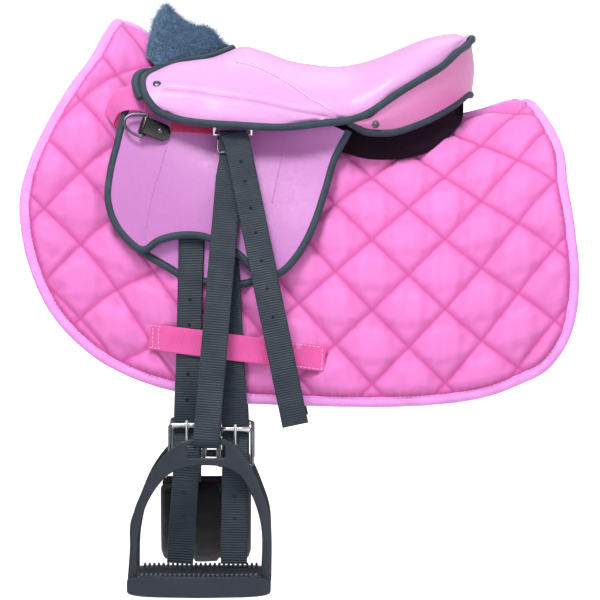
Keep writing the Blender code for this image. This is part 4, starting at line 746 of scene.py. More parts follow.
def pair(obj, body, *nodes):
    """Places the left piece and its mirror image."""
    far = other_side(obj)
    placed(obj, body, *nodes)
    placed(far, body.replace("left", "right"), *[n.replace("left", "right") for n in nodes])
    return obj, far


def baked(obj):
    """The object's evaluated mesh as a plain mesh object, in world space."""
    bpy.context.view_layer.update()
    graph = bpy.context.evaluated_depsgraph_get()
    mesh = bpy.data.meshes.new_from_object(obj.evaluated_get(graph))
    mesh.transform(obj.matrix_world)
    name, finish = obj.name, obj.get("finish")
    bpy.data.objects.remove(obj, do_unlink=True)
    mesh.name = name
    result = stand(name, mesh)
    if finish:
        result["finish"] = finish
    return result


def boolean(obj, cutter, operation):
    """The result of joining, cutting or crossing two closed meshes."""
    change = obj.modifiers.new(operation.lower(), "BOOLEAN")
    change.operation = operation
    change.object = cutter
    result = baked(obj)
    bpy.data.objects.remove(cutter, do_unlink=True)
    return result


def mesh_of(name, work):
    """New mesh data from what was worked on."""
    mesh = bpy.data.meshes.new(name)
    work.to_mesh(mesh)
    work.free()
    return mesh


def edited(obj, change):
    """Opens the object's mesh for one change."""
    work = bmesh.new()
    work.from_mesh(obj.data)
    change(work)
    work.to_mesh(obj.data)
    work.free()
    return obj


def joined(name, objs):
    """Several meshes as one."""
    work = bmesh.new()
    finish = objs[0]["finish"]
    for obj in objs:
        work.from_mesh(obj.data)
        bpy.data.objects.remove(obj, do_unlink=True)
    return link(name, mesh_of(name, work), finish)


def mirrored_shell(obj, thickness, offset):
    """Adds the piece's other half and its thickness."""
    mirror = obj.modifiers.new("other_half", "MIRROR")
    mirror.use_axis = (False, True, False)
    mirror.use_clip = True
    mirror.merge_threshold = WELD
    shell = obj.modifiers.new("thickness", "SOLIDIFY")
    shell.thickness = thickness
    shell.offset = offset
    return shell


def mesh_points(mesh):
    points = np.empty(len(mesh.vertices) * 3)
    mesh.vertices.foreach_get("co", points)
    return points.reshape(-1, 3)


def marked(mesh, name, values):
    """Keeps a number for each of the mesh's points, for its material."""
    layer = mesh.attributes.new(name, "FLOAT", "POINT")
    layer.data.foreach_set("value", np.array(values, np.float32))


def unwrapped(mesh, flat):
    """Keeps each point's place on the flat pattern, in metres, as UV."""
    layer = mesh.uv_layers.new(name="flat")
    index = np.empty(len(mesh.loops), np.int32)
    mesh.loops.foreach_get("vertex_index", index)
    flat = np.array(flat, float).reshape(-1, 2)
    layer.data.foreach_set("uv", flat[index].astype(np.float32).ravel())


def grid_mesh(name, rows, material, uv=None, closed=False, caps=False):
    """A mesh through a grid of points: rows by places in a row. closed joins a row's ends."""
    rows = np.array(rows, float)
    high, wide = rows.shape[:2]
    span = wide if closed else wide - 1
    faces = [
        (r * wide + c, r * wide + (c + 1) % wide, (r + 1) * wide + (c + 1) % wide, (r + 1) * wide + c)
        for r in range(high - 1)
        for c in range(span)
    ]
    if caps:
        faces.append(tuple(range(wide))[::-1])
        faces.append(tuple((high - 1) * wide + c for c in range(wide)))
    mesh = bpy.data.meshes.new(name)
    mesh.from_pydata(rows.reshape(-1, 3).tolist(), [], faces)
    if uv is not None:
        unwrapped(mesh, uv)
    obj = link(name, mesh, material)
    return faced_out(obj) if (closed and caps) else obj


def faced_out(obj):
    """Turns a closed mesh's faces outwards."""
    return edited(obj, lambda work: bmesh.ops.recalc_face_normals(work, faces=work.faces))


def welded(obj, distance):
    return edited(obj, lambda work: bmesh.ops.remove_doubles(work, verts=work.verts, dist=distance))


def unit(vectors):
    return vectors / np.linalg.norm(vectors, axis=-1, keepdims=True)


def resampled(path, spacing, closed=False, extra=None):
    """Points of a polyline at an even spacing, with another row of vectors carried along."""
    path = np.array(path, float)
    if closed:
        path = np.vstack([path, path[:1]])
    reach = travelled(path)
    count = max(3, int(reach[-1] / spacing))
    at = np.linspace(0, reach[-1], count, endpoint=not closed)
    points = np.column_stack([np.interp(at, reach, axis) for axis in path.T])
    if extra is None:
        return points
    extra = np.array(extra, float)
    return points, np.column_stack([np.interp(at, reach, axis) for axis in extra.T])


def eased(points, times, closed=False):
    """A path with its corners softened."""
    points = np.array(points, float)
    for _ in range(times):
        if closed:
            points = (np.roll(points, 1, axis=0) + 2 * points + np.roll(points, -1, axis=0)) / 4
        else:
            points[1:-1] = (points[:-2] + 2 * points[1:-1] + points[2:]) / 4
    return points


def carried_round(along):
    """Directions square to a path that turn as little as they can."""
    start = np.cross(along[0], (0.3, 0.5, 0.81))
    frames = [start / np.linalg.norm(start)]
    for step in along[1:]:
        moved = frames[-1] - step * frames[-1].dot(step)
        frames.append(moved / np.linalg.norm(moved))
    return np.array(frames)


def untwisted(across, along):
    """Spreads over a closed path the twist that is left where it closes."""
    back = across[-1] - along[0] * across[-1].dot(along[0])
    back /= np.linalg.norm(back)
    twist = math.atan2(np.cross(across[0], back).dot(along[0]), across[0].dot(back))
    turn = -twist * np.arange(len(along)) / len(along)
    return across * np.cos(turn)[:, None] + np.cross(along, across) * np.sin(turn)[:, None]


def sweep(name, path, profile, material, across=None, closed=False, sizes=None):
    """A profile carried along a path. across is the direction of its width at each point."""
    path = np.array(path, float)
    profile = np.array(profile, float)
    if closed:
        along = unit(np.roll(path, -1, axis=0) - np.roll(path, 1, axis=0))
    else:
        along = unit(np.gradient(path, axis=0))
    if across is None:
        across = carried_round(along)
        if closed:
            across = untwisted(across, along)
    else:
        across = np.broadcast_to(np.array(across, float), path.shape)
        across = unit(across - np.sum(along * across, axis=1)[:, None] * along)
    square = np.cross(along, across)
    scale = np.ones(len(path)) if sizes is None else np.array(sizes, float)
    rows = path[:, None] + scale[:, None, None] * (
        profile[None, :, :1] * across[:, None] + profile[None, :, 1:] * square[:, None]
    )
    uv = np.stack(np.broadcast_arrays(profile[None, :, 0], travelled(path)[:, None]), axis=-1)
    if closed:
        rows = np.concatenate([rows, rows[:1]])
        uv = np.concatenate([uv, uv[-1:] + (0, 1e-3)])
        obj = grid_mesh(name, rows, material, uv, closed=True)
        return rounded(faced_out(welded(obj, 1e-7)), 50)
    return rounded(grid_mesh(name, rows, material, uv, closed=True, caps=True), 50)


def circle(radius, sides=10, squash=1.0):
    angles = np.linspace(0, 2 * math.pi, sides, endpoint=False)
    return np.column_stack([radius * np.cos(angles), radius * squash * np.sin(angles)])


def tube(name, path, radius, material, closed=False, sides=10, spacing=None, ease=0):
    if spacing:
        path = resampled(path, spacing, closed)
    if ease:
        path = eased(path, ease, closed)
    return sweep(name, path, circle(radius, sides), material, closed=closed)


def piping(name, path, size=1.0, closed=False, ease=0):
    """The slate edging that binds the seat, flaps and panels."""
    radius = PIPING_RADIUS * size
    return tube(name, path, radius, "slate_piping", closed=closed, sides=12, spacing=0.0022, ease=ease)


def strap_profile(width, thickness, crown=0.0):
    """The section of webbing: flat with rounded edges."""
    half, thick = width / 2, thickness / 2
    top = [(1, 0), (0.985, 0.7), (0.95, 0.98), (0.86, 1.0), (0.5, 1.0), (0, 1.0)]
    places = top + [(-a, b) for a, b in top[-2::-1]]
    lower = [(-a, -b) for a, b in places[1:-1]]
    points = [(a * half, b * thick + crown * (1 - a * a)) for a, b in places + lower]
    return points


def strap(name, path, side, width, thickness, material, spacing=0.0016, ease=2, crown=0.0):
    """Webbing along a path, with its flat pattern as UV in metres."""
    path = np.array(path, float)
    side = np.broadcast_to(np.array(side, float), path.shape)
    points, sides = resampled(path, spacing, extra=side)
    points = eased(points, ease)
    return sweep(name, points, strap_profile(width, thickness, crown), material, across=unit(sides))


# One stitch from end to end: place along it, height over the cloth in radii, and thickness
STITCH_PLACES = np.array([0, 0.12, 0.5, 0.88, 1.0])
STITCH_LIFTS = np.array([-0.8, 0.15, 0.45, 0.15, -0.8])
STITCH_SIZES = np.array([0.45, 0.9, 1.0, 0.9, 0.45])
STITCH_SIDES = 6


def stitches(name, path, out, material, length=0.0030, gap=0.0011, radius=0.00042):
    """A row of sewn stitches: small rounded dashes along a path, half sunk along out."""
    path = np.array(path, float)
    out = np.broadcast_to(np.array(out, float), path.shape)
    reach = travelled(path)
    verts = []
    faces = []
    profile = circle(radius, STITCH_SIDES)
    for k in range(int(reach[-1] / (length + gap))):
        at = STITCH_PLACES * length + k * (length + gap)
        points = np.column_stack([np.interp(at, reach, axis) for axis in path.T])
        normal = unit(np.column_stack([np.interp(at, reach, axis) for axis in out.T]))
        along = points[-1] - points[0]
        size = np.linalg.norm(along)
        if size < length * 0.3:
            continue
        wide = unit(np.cross(along / size, normal))
        first = len(verts)
        for j, (lift, grow) in enumerate(zip(STITCH_LIFTS * radius, STITCH_SIZES)):
            for a, b in profile:
                verts.append(points[j] + normal[j] * (lift + b * grow) + wide[j] * a * grow)
        ring = [(c, (c + 1) % STITCH_SIDES) for c in range(STITCH_SIDES)]
        for low in range(first, first + 4 * STITCH_SIDES, STITCH_SIDES):
            faces += [(low + c, low + d, low + STITCH_SIDES + d, low + STITCH_SIDES + c) for c, d in ring]
        faces.append(tuple(first + c for c, _ in ring)[::-1])
        faces.append(tuple(first + 4 * STITCH_SIDES + c for c, _ in ring))
    mesh = bpy.data.meshes.new(name)
    mesh.from_pydata([tuple(v) for v in verts], [], faces)
    return rounded(faced_out(link(name, mesh, material)), 60)


def finer(obj, sharp_corners=False):
    """The piece with its faces split once and smoothed."""
    change = obj.modifiers.new("finer", "SUBSURF")
    change.levels = change.render_levels = 1
    if sharp_corners:
        change.boundary_smooth = "PRESERVE_CORNERS"
    return baked(obj)


def drilled(obj, places, radius, depth):
    """Round holes through a strap, across the pony."""
    turn = Vector((0, 1, 0)).to_track_quat("Z", "Y").to_matrix().to_4x4()
    for place in places:
        work = bmesh.new()
        bmesh.ops.create_cone(work, cap_ends=True, segments=14, radius1=radius, radius2=radius, depth=depth)
        bmesh.ops.transform(work, matrix=Matrix.Translation(place) @ turn, verts=work.verts)
        obj = boolean(obj, link("hole", mesh_of("hole", work)), "DIFFERENCE")
    return obj


def disc(name, centre, axis, radius, height, material, sides=28, dome=0.35):
    """A turned button: flat base, rounded rim and a domed top along axis."""
    top = [(0.5, 1.0 + dome * 0.6), (0.2, 1.0 + dome * 0.95)]
    steps = [(1.0, 0.0), (1.0, 0.45), (0.94, 0.75), (0.80, 0.93), *top]
    axis = Vector(axis).normalized()
    side = axis.orthogonal().normalized()
    up = axis.cross(side)
    centre = Vector(centre)
    angles = np.linspace(0, 2 * math.pi, sides, endpoint=False)
    ring = [side * math.cos(a) + up * math.sin(a) for a in angles]
    rows = [[centre + axis * (high * height) + way * radius * out for way in ring] for out, high in steps]
    return rounded(grid_mesh(name, rows, material, closed=True, caps=True), 40)


# Pixels of the photograph as places on the pony's left


def at_pixel(u, v):
    return ((u - 310) * 0.00095, (120 - v) * 0.00095)


def pixels(*points):
    return [at_pixel(*point) for point in points]


def solid_outline(name, outline, low, high):
    """A flat outline stood up between two heights."""
    work = bmesh.new()
    floor = work.faces.new([work.verts.new((*point, low)) for point in outline])
    raised = bmesh.ops.extrude_face_region(work, geom=[floor])
    top = [item for item in raised["geom"] if isinstance(item, bmesh.types.BMVert)]
    bmesh.ops.translate(work, verts=top, vec=(0, 0, high - low))
    bmesh.ops.recalc_face_normals(work, faces=work.faces)
    return link(name, mesh_of(name, work))


def lattice_slab(name, centre, reach, cell, turn, fine, thickness):
    """A slab of square cells with its top divided fine times along each of their sides."""
    count = math.ceil(reach / cell) + 1
    work = bmesh.new()
    span = 2 * count * fine
    rotation = Matrix.Rotation(turn, 2)

    def corner(i, j, height):
        flat = rotation @ Vector((i / fine - count, j / fine - count)) * cell
        return work.verts.new((centre[0] + flat.x, centre[1] + flat.y, height))

    top = [[corner(i, j, thickness) for j in range(span + 1)] for i in range(span + 1)]
    coarse = range(0, span + 1, fine)
    bottom = {(i, j): corner(i, j, 0) for i in coarse for j in coarse}
    for i in range(span):
        for j in range(span):
            work.faces.new((top[i][j], top[i + 1][j], top[i + 1][j + 1], top[i][j + 1]))
    for i in coarse[:-1]:
        for j in coarse[:-1]:
            square = (bottom[i, j], bottom[i, j + fine], bottom[i + fine, j + fine], bottom[i + fine, j])
            work.faces.new(square)
    for edge in (0, span):
        for i in coarse[:-1]:
            rim = [top[i + k][edge] for k in range(fine + 1)]
            work.faces.new([*rim, bottom[i + fine, edge], bottom[i, edge]])
            rim = [top[edge][i + k] for k in range(fine + 1)]
            work.faces.new([*rim, bottom[edge, i + fine], bottom[edge, i]])
    bmesh.ops.recalc_face_normals(work, faces=work.faces)
    return link(name, mesh_of(name, work))


def cut_slab(name, outline, material, *slab):
    """A slab of cells cut to a flat outline."""
    cloth = lattice_slab(name, *slab)
    cloth["finish"] = material
    cutter = solid_outline("cutter", outline, -OVERRUN, PAD_THICKNESS + OVERRUN)
    return boolean(cloth, cutter, "INTERSECT")


def pad_outline():
    return scaled(PAD_OUTLINE_SHARES, PAD_FRONT, PAD_LENGTH, PAD_BOTTOM, PAD_HEIGHT)


def pad_edge():
    """The binding's middle as a flat pattern: place along the back, and distance down the side."""
    pattern = []
    for x, z in pad_outline():
        upright = (z + BARREL_WIDEST_DROP) / (back_height(x) + BARREL_WIDEST_DROP)
        pattern.append((x, unrolled(x, z - PAD_CHANNEL_THICKNESS * upright)))
    pattern = inset(pattern, BINDING_RADIUS, closed=False)
    pattern[0][1] = 0
    pattern[-1][1] = 0
    return pattern


def seat_widths(share):
    edge = SEAT_HALF_WIDTH * smooth(SEAT_WIDTH_SHARES, share)
    notch = NOTCH_HALF_WIDTH * max(0, smooth(NOTCH_WIDTH_SHARES, share))
    return notch, edge


def seat_heights(share):
    crest = SEAT_BOTTOM + SEAT_HEIGHT * smooth(SEAT_CREST_SHARES, share)
    piping = SEAT_BOTTOM + SEAT_HEIGHT * smooth(SEAT_EDGE_SHARES, share)
    return crest, piping + PIPING_RADIUS + SEAT_PIPING_CLEARANCE


def seat_top(x, y):
    """Height of the seat at this place."""
    share = (x - SEAT_FRONT) / SEAT_LENGTH
    notch, edge = seat_widths(share)
    crest, low = seat_heights(share)
    power = smooth(SEAT_ROUNDNESS_SHARES, share)
    across = np.clip((y - notch) / (edge - notch), 0, 1)
    return low + (crest - low) * (1 - across**power) ** (1 / power)


def seat_point(share, across):
    """Point of the near half: across runs from the crest or the notch to the lower edge."""
    notch, edge = seat_widths(share)
    crest, low = seat_heights(share)
    power = 2 / smooth(SEAT_ROUNDNESS_SHARES, share)
    angle = across * math.pi / 2
    y = notch + (edge - notch) * math.sin(angle) ** power
    z = low + (crest - low) * max(0, math.cos(angle)) ** power
    behind = SEAT_LENGTH * (share - SEAT_ROW_SHARES[0])
    fade = max(0, 1 - behind / POMMEL_BULGE_REACH) ** 2
    x = SEAT_FRONT + SEAT_LENGTH * share - POMMEL_BULGE * fade * math.sin(math.pi * across)
    return np.array((x, -y, z))


def seat_edge_path():
    """The piping's middle on the near side, from the back's middle round to the notch's end."""
    reach = PIPING_RADIUS + SEAT_PIPING_CLEARANCE
    step = 1 / (SEAT_COLUMNS - 1)
    rear, before_rear = SEAT_ROW_SHARES[-1], SEAT_ROW_SHARES[-2]
    front, after_front = SEAT_ROW_SHARES[:2]
    notch_rows = SEAT_ROW_SHARES[1:7]
    # Place on the edge, then a place farther in
    edge = [((rear, a), (before_rear, a)) for a in (0, 0.3, 0.6, 0.85)]
    edge += [((share, 1), (share, 1 - step)) for share in reversed(SEAT_ROW_SHARES[1:-1])]
    edge.append(((front, 1), (after_front, 1 - step)))
    edge += [((front, a), (after_front, a)) for a in (0.84, 0.68, 0.5, 0.33, 0.15)]
    edge.append(((front, 0), (after_front, step)))
    edge += [((share, 0), (share, step)) for share in notch_rows]
    places = np.array([seat_point(*place) for place, inside in edge])
    away = places - np.array([seat_point(*inside) for place, inside in edge])
    along = np.gradient(places, axis=0)
    along /= np.linalg.norm(along, axis=1)[:, None]
    away -= np.sum(away * along, axis=1)[:, None] * along
    away /= np.linalg.norm(away, axis=1)[:, None]
    path = places + away * reach
    path[-1] = places[-1] - np.array((reach, 0, 0))
    path[0][1] = path[-1][1] = 0
    return path


def facing_piping_level(share):
    return SEAT_BOTTOM + SEAT_HEIGHT * smooth(FACING_LOW_SHARES, share)


def facing_lines():
    """Upper and lower edges of the band under the cantle, near half, from its tip to the middle."""
    shares = np.linspace(FACING_LOW_SHARES[0][0], FACING_LOW_SHARES[-1][0], FACING_STATIONS)
    drop = 2 * PIPING_RADIUS + SEAT_PIPING_CLEARANCE + FACING_CLEARANCE
    upper = []
    lower = []
    for share in shares:
        edge = seat_point(share, 1)
        upper.append(edge + np.array((0, 0, -drop)))
        tucked = np.array((0, FACING_TUCK * min(1, abs(edge[1]) / SEAT_HALF_WIDTH * 2), 0))
        level = facing_piping_level(share) + PIPING_RADIUS + GAP
        lower.append(np.array((edge[0], edge[1], level)) + tucked)
    back = seat_point(SEAT_ROW_SHARES[-1], 1)[0]
    for line in (upper, lower):
        last = line[-1].copy()
        last[0] = back + PIPING_RADIUS
        last[1] = 0
        line.append(last)
    return through(upper, 16), through(lower, 16)


def bar_side():
    return float(hang_side(BAR_CENTRE, -BAR_DROP, BAR_LIFT))


def turn_round(centre, radius, start, end, count):
    """Points round a bar that lies along X: angles from straight outwards, upwards positive."""
    angles = np.radians(np.linspace(start, end, count))
    return [(centre[0], centre[1] - radius * math.cos(a), centre[2] + radius * math.sin(a)) for a in angles]


def eye_centre():
    """The stirrup hangs clear of the rear billet, where the pony is widest behind it."""
    x, z = LEATHER_EYE
    widest = float(plumb_side(BUCKLE_PLACES["rear"][0], z, LEATHER_EYE_LIFT))
    return (x, -widest, z)


def beside_bar(x, stand, drop):
    """Near the stirrup bar: stand is square to the flap's slope there, drop is down along it."""
    top = np.array(near(BAR_CENTRE, -BAR_DROP, BAR_LIFT, hang_side))
    low = np.array(near(BAR_CENTRE, -BAR_DROP - 2 * LEATHER_BUCKLE_HEIGHT, BAR_LIFT, hang_side))
    down = (low - top) / np.linalg.norm(low - top)
    out = np.array((0, down[2], -down[1]))
    place = top + out * stand + down * drop
    return (x, place[1], place[2])


def leather_points():
    """The strap from its buckle over the bar, down, round the stirrup's rim, up, and down again."""
    bar = np.array((BAR_CENTRE, -bar_side(), -BAR_DROP))
    eye = np.array(eye_centre())
    half = WEB_THICKNESS / 2
    turn = BAR_RADIUS + 2 * GAP + half
    rim = math.hypot(EYE_RIM_HALF_DEPTH, EYE_RIM_HALF_HEIGHT) + GAP + half
    eye_lift = -eye[1] - float(plumb_side(eye[0], eye[2], 0))
    _, out_y, out_z = np.array(beside_bar(0, 1, 0)) - np.array(beside_bar(0, 0, 0))
    lean = math.degrees(math.atan2(out_z, -out_y))

    def strand(share, stand):
        """A point between the bar and the eye, stood off the line of the inner strand."""
        x, _, z = bar + (eye - bar) * share
        lifts = [BAR_LIFT - turn, eye_lift - 3 * half, eye_lift - rim, eye_lift - rim]
        return near(x, z, np.interp(share, [0, 0.86, 0.95, 1], lifts) + stand, hang_side)

    upper = LEATHER_BUCKLE_DROP
    lower = LEATHER_BUCKLE_DROP + LEATHER_BUCKLE_HEIGHT
    reach = LEATHER_BUCKLE_RADIUS + GAP + half
    behind = LEATHER_BUCKLE_STAND - reach
    front = LEATHER_BUCKLE_STAND + reach
    fold = half + GAP
    pair = 2 * half + 2 * GAP
    path = [beside_bar(BAR_CENTRE, turn, upper - LEATHER_BUCKLE_RADIUS - 2 * GAP)]
    path += turn_round(bar, turn, lean, lean + 180, 7)
    path += [beside_bar(BAR_CENTRE, -turn, drop) for drop in (upper, lower)]
    path += [strand(share, 0) for share in np.linspace(0.14, 0.95, 12)]
    path += turn_round(eye, rim, 180, 360, 9)
    path += [strand(share, pair + 2 * rim * max(0, (share - 0.86) / 0.14)) for share in (0.95, 0.90)]
    path += [strand(share, pair) for share in np.linspace(0.84, 0.20, 9)]
    path += [beside_bar(BAR_CENTRE, behind, drop) for drop in (lower + pair, lower)]
    path += [beside_bar(BAR_CENTRE, front, drop) for drop in (upper, upper - half)]
    top = beside_bar(BAR_CENTRE, front + fold, upper - pair)
    path += turn_round(top, fold, lean + 180, lean, 7)
    hang = front + 2 * fold
    path.append(beside_bar((BAR_CENTRE + TAIL_START) / 2, hang, lower * 0.6))
    path.append(beside_bar(TAIL_START, hang, lower + WEB_WIDTH / 2))
    start = np.array(path[-1])
    for share in np.linspace(0.1, 1, 12):
        x = start[0] + (TAIL_END[0] - start[0]) * share
        z = start[2] + (TAIL_END[1] - start[2]) * share
        lifts = [BAR_LIFT + hang, TAIL_LIFT_LOW + hang / 2, TAIL_LIFT_LOW]
        lift = np.interp(share, [0, 0.45, 1], lifts)
        path.append(near(x, z, lift, hang_side))
    return path


def billet_points(which):
    """The billet's path with the direction of its width at each point."""
    buckle_x, buckle_z = BUCKLE_PLACES[which]
    top_x, top_z = BILLET_TOPS[which]
    end_x, end_z = BILLET_ENDS[which]
    half = BILLET_THICKNESS / 2
    behind = BUCKLE_LIFT - ROLLER_RADIUS - GAP - half
    before = BUCKLE_LIFT + BUCKLE_WIRE_RADIUS + WEB_THICKNESS + 3 * GAP + half
    path = []
    side = []
    for share in np.linspace(0, 1, 14):
        lift = np.interp(share, [0, 0.8, 1], [BILLET_LIFT, BILLET_LIFT, behind])
        x = top_x + (buckle_x - top_x) * share
        z = top_z + (buckle_z - top_z) * share
        path.append(near(x, z, lift, plumb_side))
        level = level_side(x, z, lift)
        fade = np.interp(share, [0.7, 0.95], [1, 0])
        side.append((level[0], level[1] * fade, 0))
    for share in (0.2, 0.4, 0.6, 0.8, 1.0):
        part = min(1, share / 0.8)
        ease = 3 * part**2 - 2 * part**3
        z = buckle_z - BUCKLE_HEIGHT * share
        path.append(near(buckle_x, z, behind + (before - behind) * ease, plumb_side))
    widest = path[-1][1]
    low_z = buckle_z - BUCKLE_HEIGHT
    for share in (0.1, 0.35, 0.7, 1.0):
        path.append((buckle_x + (end_x - buckle_x) * share, widest, low_z + (end_z - low_z) * share))
    side += [(1, 0, 0)] * (len(path) - len(side))
    return path, side


def buckle_bar(which):
    """Middle of the girth buckle's lower bar."""
    x, z = BUCKLE_PLACES[which]
    return (x, -float(plumb_side(x, z, BUCKLE_LIFT)), z - BUCKLE_HEIGHT)


def girth_end_angle():
    """Where the girth pad ends, as an angle from the lowest point of the belly."""
    return math.acos(min(1, (GIRTH_TOP + BARREL_WIDEST_DROP) / (-BELLY_DEPTH - GIRTH_LIFT)))


def dee_frame():
    """Place of the D-ring's straight bar and its directions: along the tab, along the bar, outwards."""
    x, z = DEE_PLACE
    place = np.array(near(x, z, DEE_LIFT, hang_side))
    out = outward(x, z, DEE_LIFT, hang_side)
    level = level_side(x, z, DEE_LIFT, hang_side)
    up = np.cross(out, level)
    if up[2] < 0:
        up = -up
    tab = level * math.cos(DEE_TILT) - up * math.sin(DEE_TILT)
    bar = np.cross(out, tab)
    return place, tab, bar / np.linalg.norm(bar), out


# Quilted pad


def draped_all(points):
    """Lays many flat pattern points (place, distance down, lift) on the pony's left side."""
    cache = {}
    laid = np.empty((len(points), 3))
    for k, (x, down, lift) in enumerate(points):
        key = round(x * 1000)
        if key not in cache:
            cache[key] = arc_reach(x)
        angle = np.interp(down, cache[key], ARC_ANGLES)
        wide = np.interp(x, BACK_PLACES, BACK_WIDTHS) + lift
        tall = np.interp(x, BACK_PLACES, BACK_LEVELS) + BARREL_WIDEST_DROP + lift
        laid[k] = (x, -wide * math.sin(angle), tall * math.cos(angle) - BARREL_WIDEST_DROP)
    return laid


BACK_PLACES = np.linspace(-0.35, 0.35, 701)
BACK_WIDTHS = np.array([float(half_width(x)) for x in BACK_PLACES])
BACK_LEVELS = np.array([float(back_height(x)) for x in BACK_PLACES])


def cell_places(points):
    """Where flat points are inside their quilted square: two numbers from 0 to 1."""
    turned = points[:, :2] - np.array(PAD_CENTRE)
    c, s = math.cos(-QUILT_TURN), math.sin(-QUILT_TURN)
    u = (turned[:, 0] * c - turned[:, 1] * s) / QUILT_CELL
    v = (turned[:, 0] * s + turned[:, 1] * c) / QUILT_CELL
    return u, v


def seam_distance(u, v):
    """Distance to the nearest quilting seam, as a share of half a cell."""
    away = np.minimum(np.abs(u - np.round(u)), np.abs(v - np.round(v)))
    return away * 2


BINDING_REACH = 0.0058
QUILT_LOFT = 1.15
EDGE_BATCH = 8000


def edge_distance(points, edge):
    """Distance of flat points from the pad's cut edge or from its middle."""
    away = np.full(len(points), 1e9)
    for first in range(0, len(points), EDGE_BATCH):
        part = points[first:first + EDGE_BATCH, :2]
        gaps = np.linalg.norm(part[:, None] - edge[None, :, :2], axis=2)
        away[first:first + EDGE_BATCH] = gaps.min(axis=1)
    return away


def puffed(obj, pinned):
    """Blows the free cloth up between its pinned seams by cloth simulation."""
    group = obj.vertex_groups.new(name="sewn")
    group.add([int(k) for k in np.nonzero(pinned)[0]], 1.0, "REPLACE")
    cloth = obj.modifiers.new("cloth", "CLOTH")
    settings = cloth.settings
    settings.quality = 6
    settings.mass = 0.25
    settings.tension_stiffness = settings.compression_stiffness = 12
    settings.shear_stiffness = 6
    settings.bending_stiffness = 0.06
    settings.use_pressure = True
    settings.uniform_pressure_force = 4.0
    settings.shrink_min = -0.055
    settings.vertex_group_mass = "sewn"
    settings.effector_weights.gravity = 0
    cloth.collision_settings.use_collision = False
    cloth.point_cache.frame_start = 1
    cloth.point_cache.frame_end = 25
    scene = bpy.context.scene
    for number in range(1, 21):
        scene.frame_set(number)
    result = baked(obj)
    scene.frame_set(1)
    return result


def quilt_blank(edge):
    """The flat cloth as thick as its seams, cut to the pad, and which of its points are at a rim."""
    trimmed = inset(edge, 0.0005, closed=False)
    kept = [tuple(point) for point in trimmed if point[1] > 0.0012]
    middle = 0.00002
    outline = [reaching(kept[0], kept[1], middle), *kept, reaching(kept[-1], kept[-2], middle)]
    slab = (PAD_CENTRE, PAD_LENGTH * 0.62, QUILT_CELL, QUILT_TURN, QUILT_FINENESS, PAD_CHANNEL_THICKNESS)
    piece = cut_slab("quilt", outline, "pink_quilt", *slab)
    rim = []

    def weld(work):
        bmesh.ops.remove_doubles(work, verts=work.verts, dist=0.00002)
        work.normal_update()
        rim.extend(any(face.normal.z < 0.9 for face in vert.link_faces) for vert in work.verts)

    return edited(piece, weld), np.array(rim)


def creased(flat, away):
    """Puckers the cloth at its seams and creases it lightly between them."""
    for k in np.nonzero(flat[:, 2] > PAD_CHANNEL_THICKNESS * 0.9)[0]:
        x, y = flat[k, :2]
        pull = max(0.0, 1 - away[k] / 0.55)
        pucker = noise.noise((x * 190, y * 190, 3)) * 0.00045 * pull
        crease = noise.noise((x * 140, y * 34, 9)) * 0.0012 * min(1, away[k] * 2)
        flat[k, 2] += (pucker + crease) * min(1, away[k] * 6)


def make_quilt():
    edge = through(pad_edge(), PAD_EDGE_STATIONS * 3)
    seam = PAD_CHANNEL_THICKNESS
    piece, rim = quilt_blank(edge)
    rest = mesh_points(piece.data)
    u, v = cell_places(rest)
    border = edge_distance(rest, edge)
    pinned = rim | (seam_distance(u, v) < 0.07) | (border < BINDING_REACH)
    puff = (PAD_THICKNESS - seam) * QUILT_LOFT
    rise = np.abs(np.sin(math.pi * u) * np.sin(math.pi * v)) ** 0.42
    rise *= np.clip((border - BINDING_REACH) / BINDING_REACH, 0, 1) ** 0.5
    over = rest[:, 2] > seam * 0.5
    swollen = rest.copy()
    swollen[:, 2] += np.where(pinned | (rest[:, 2] < seam * 0.5), 0, rise * puff)
    piece.data.vertices.foreach_set("co", swollen.ravel())
    piece = puffed(piece, pinned)
    blown = mesh_points(piece.data)
    lowest = np.where(over, rest[:, 2] + (swollen[:, 2] - rest[:, 2]) * 0.55, 0)
    highest = np.where(over, swollen[:, 2] + 0.0022, rest[:, 2])
    blown[:, 2] = np.clip(blown[:, 2], lowest, highest)
    blown[:, :2] = rest[:, :2] + np.clip(blown[:, :2] - rest[:, :2], -0.003, 0.003)
    blown[pinned] = rest[pinned]
    swollen = blown
    piece.data.vertices.foreach_set("co", swollen.ravel())
    piece.data.update()
    for face in piece.data.polygons:
        face.use_smooth = True
    piece = finer(piece, sharp_corners=True)
    flat = mesh_points(piece.data)
    inside = np.maximum(0, edge_distance(flat, edge) - BINDING_REACH) * 2 / QUILT_CELL
    away = np.minimum(seam_distance(*cell_places(flat)), inside)
    creased(flat, away)
    # The puff mark: low in the sewn channels and by the binding, high on the puffs' tops; the cloth paints
    # shade and highlight from it
    rise = np.clip((flat[:, 2] - seam) / puff, 0, 1) * 0.4 + np.clip(away / 0.11, 0, 1) * 0.6
    marked(piece.data, "puff", np.clip(rise, 0, 1))
    unwrapped(piece.data, flat[:, :2])
    piece.data.vertices.foreach_set("co", draped_all(flat).ravel())
    piece.name = "quilt_left"
    for obj in pair(rounded(faced_out(coated(piece, "pink_quilt")), 70), "saddle", "pad_quilt_left"):
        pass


def closed_loop(half_run):
    """A run from the middle of the pony round the left side to the middle, and back on the right."""
    return np.vstack([half_run, half_run[-2:0:-1] * MIRRORED])


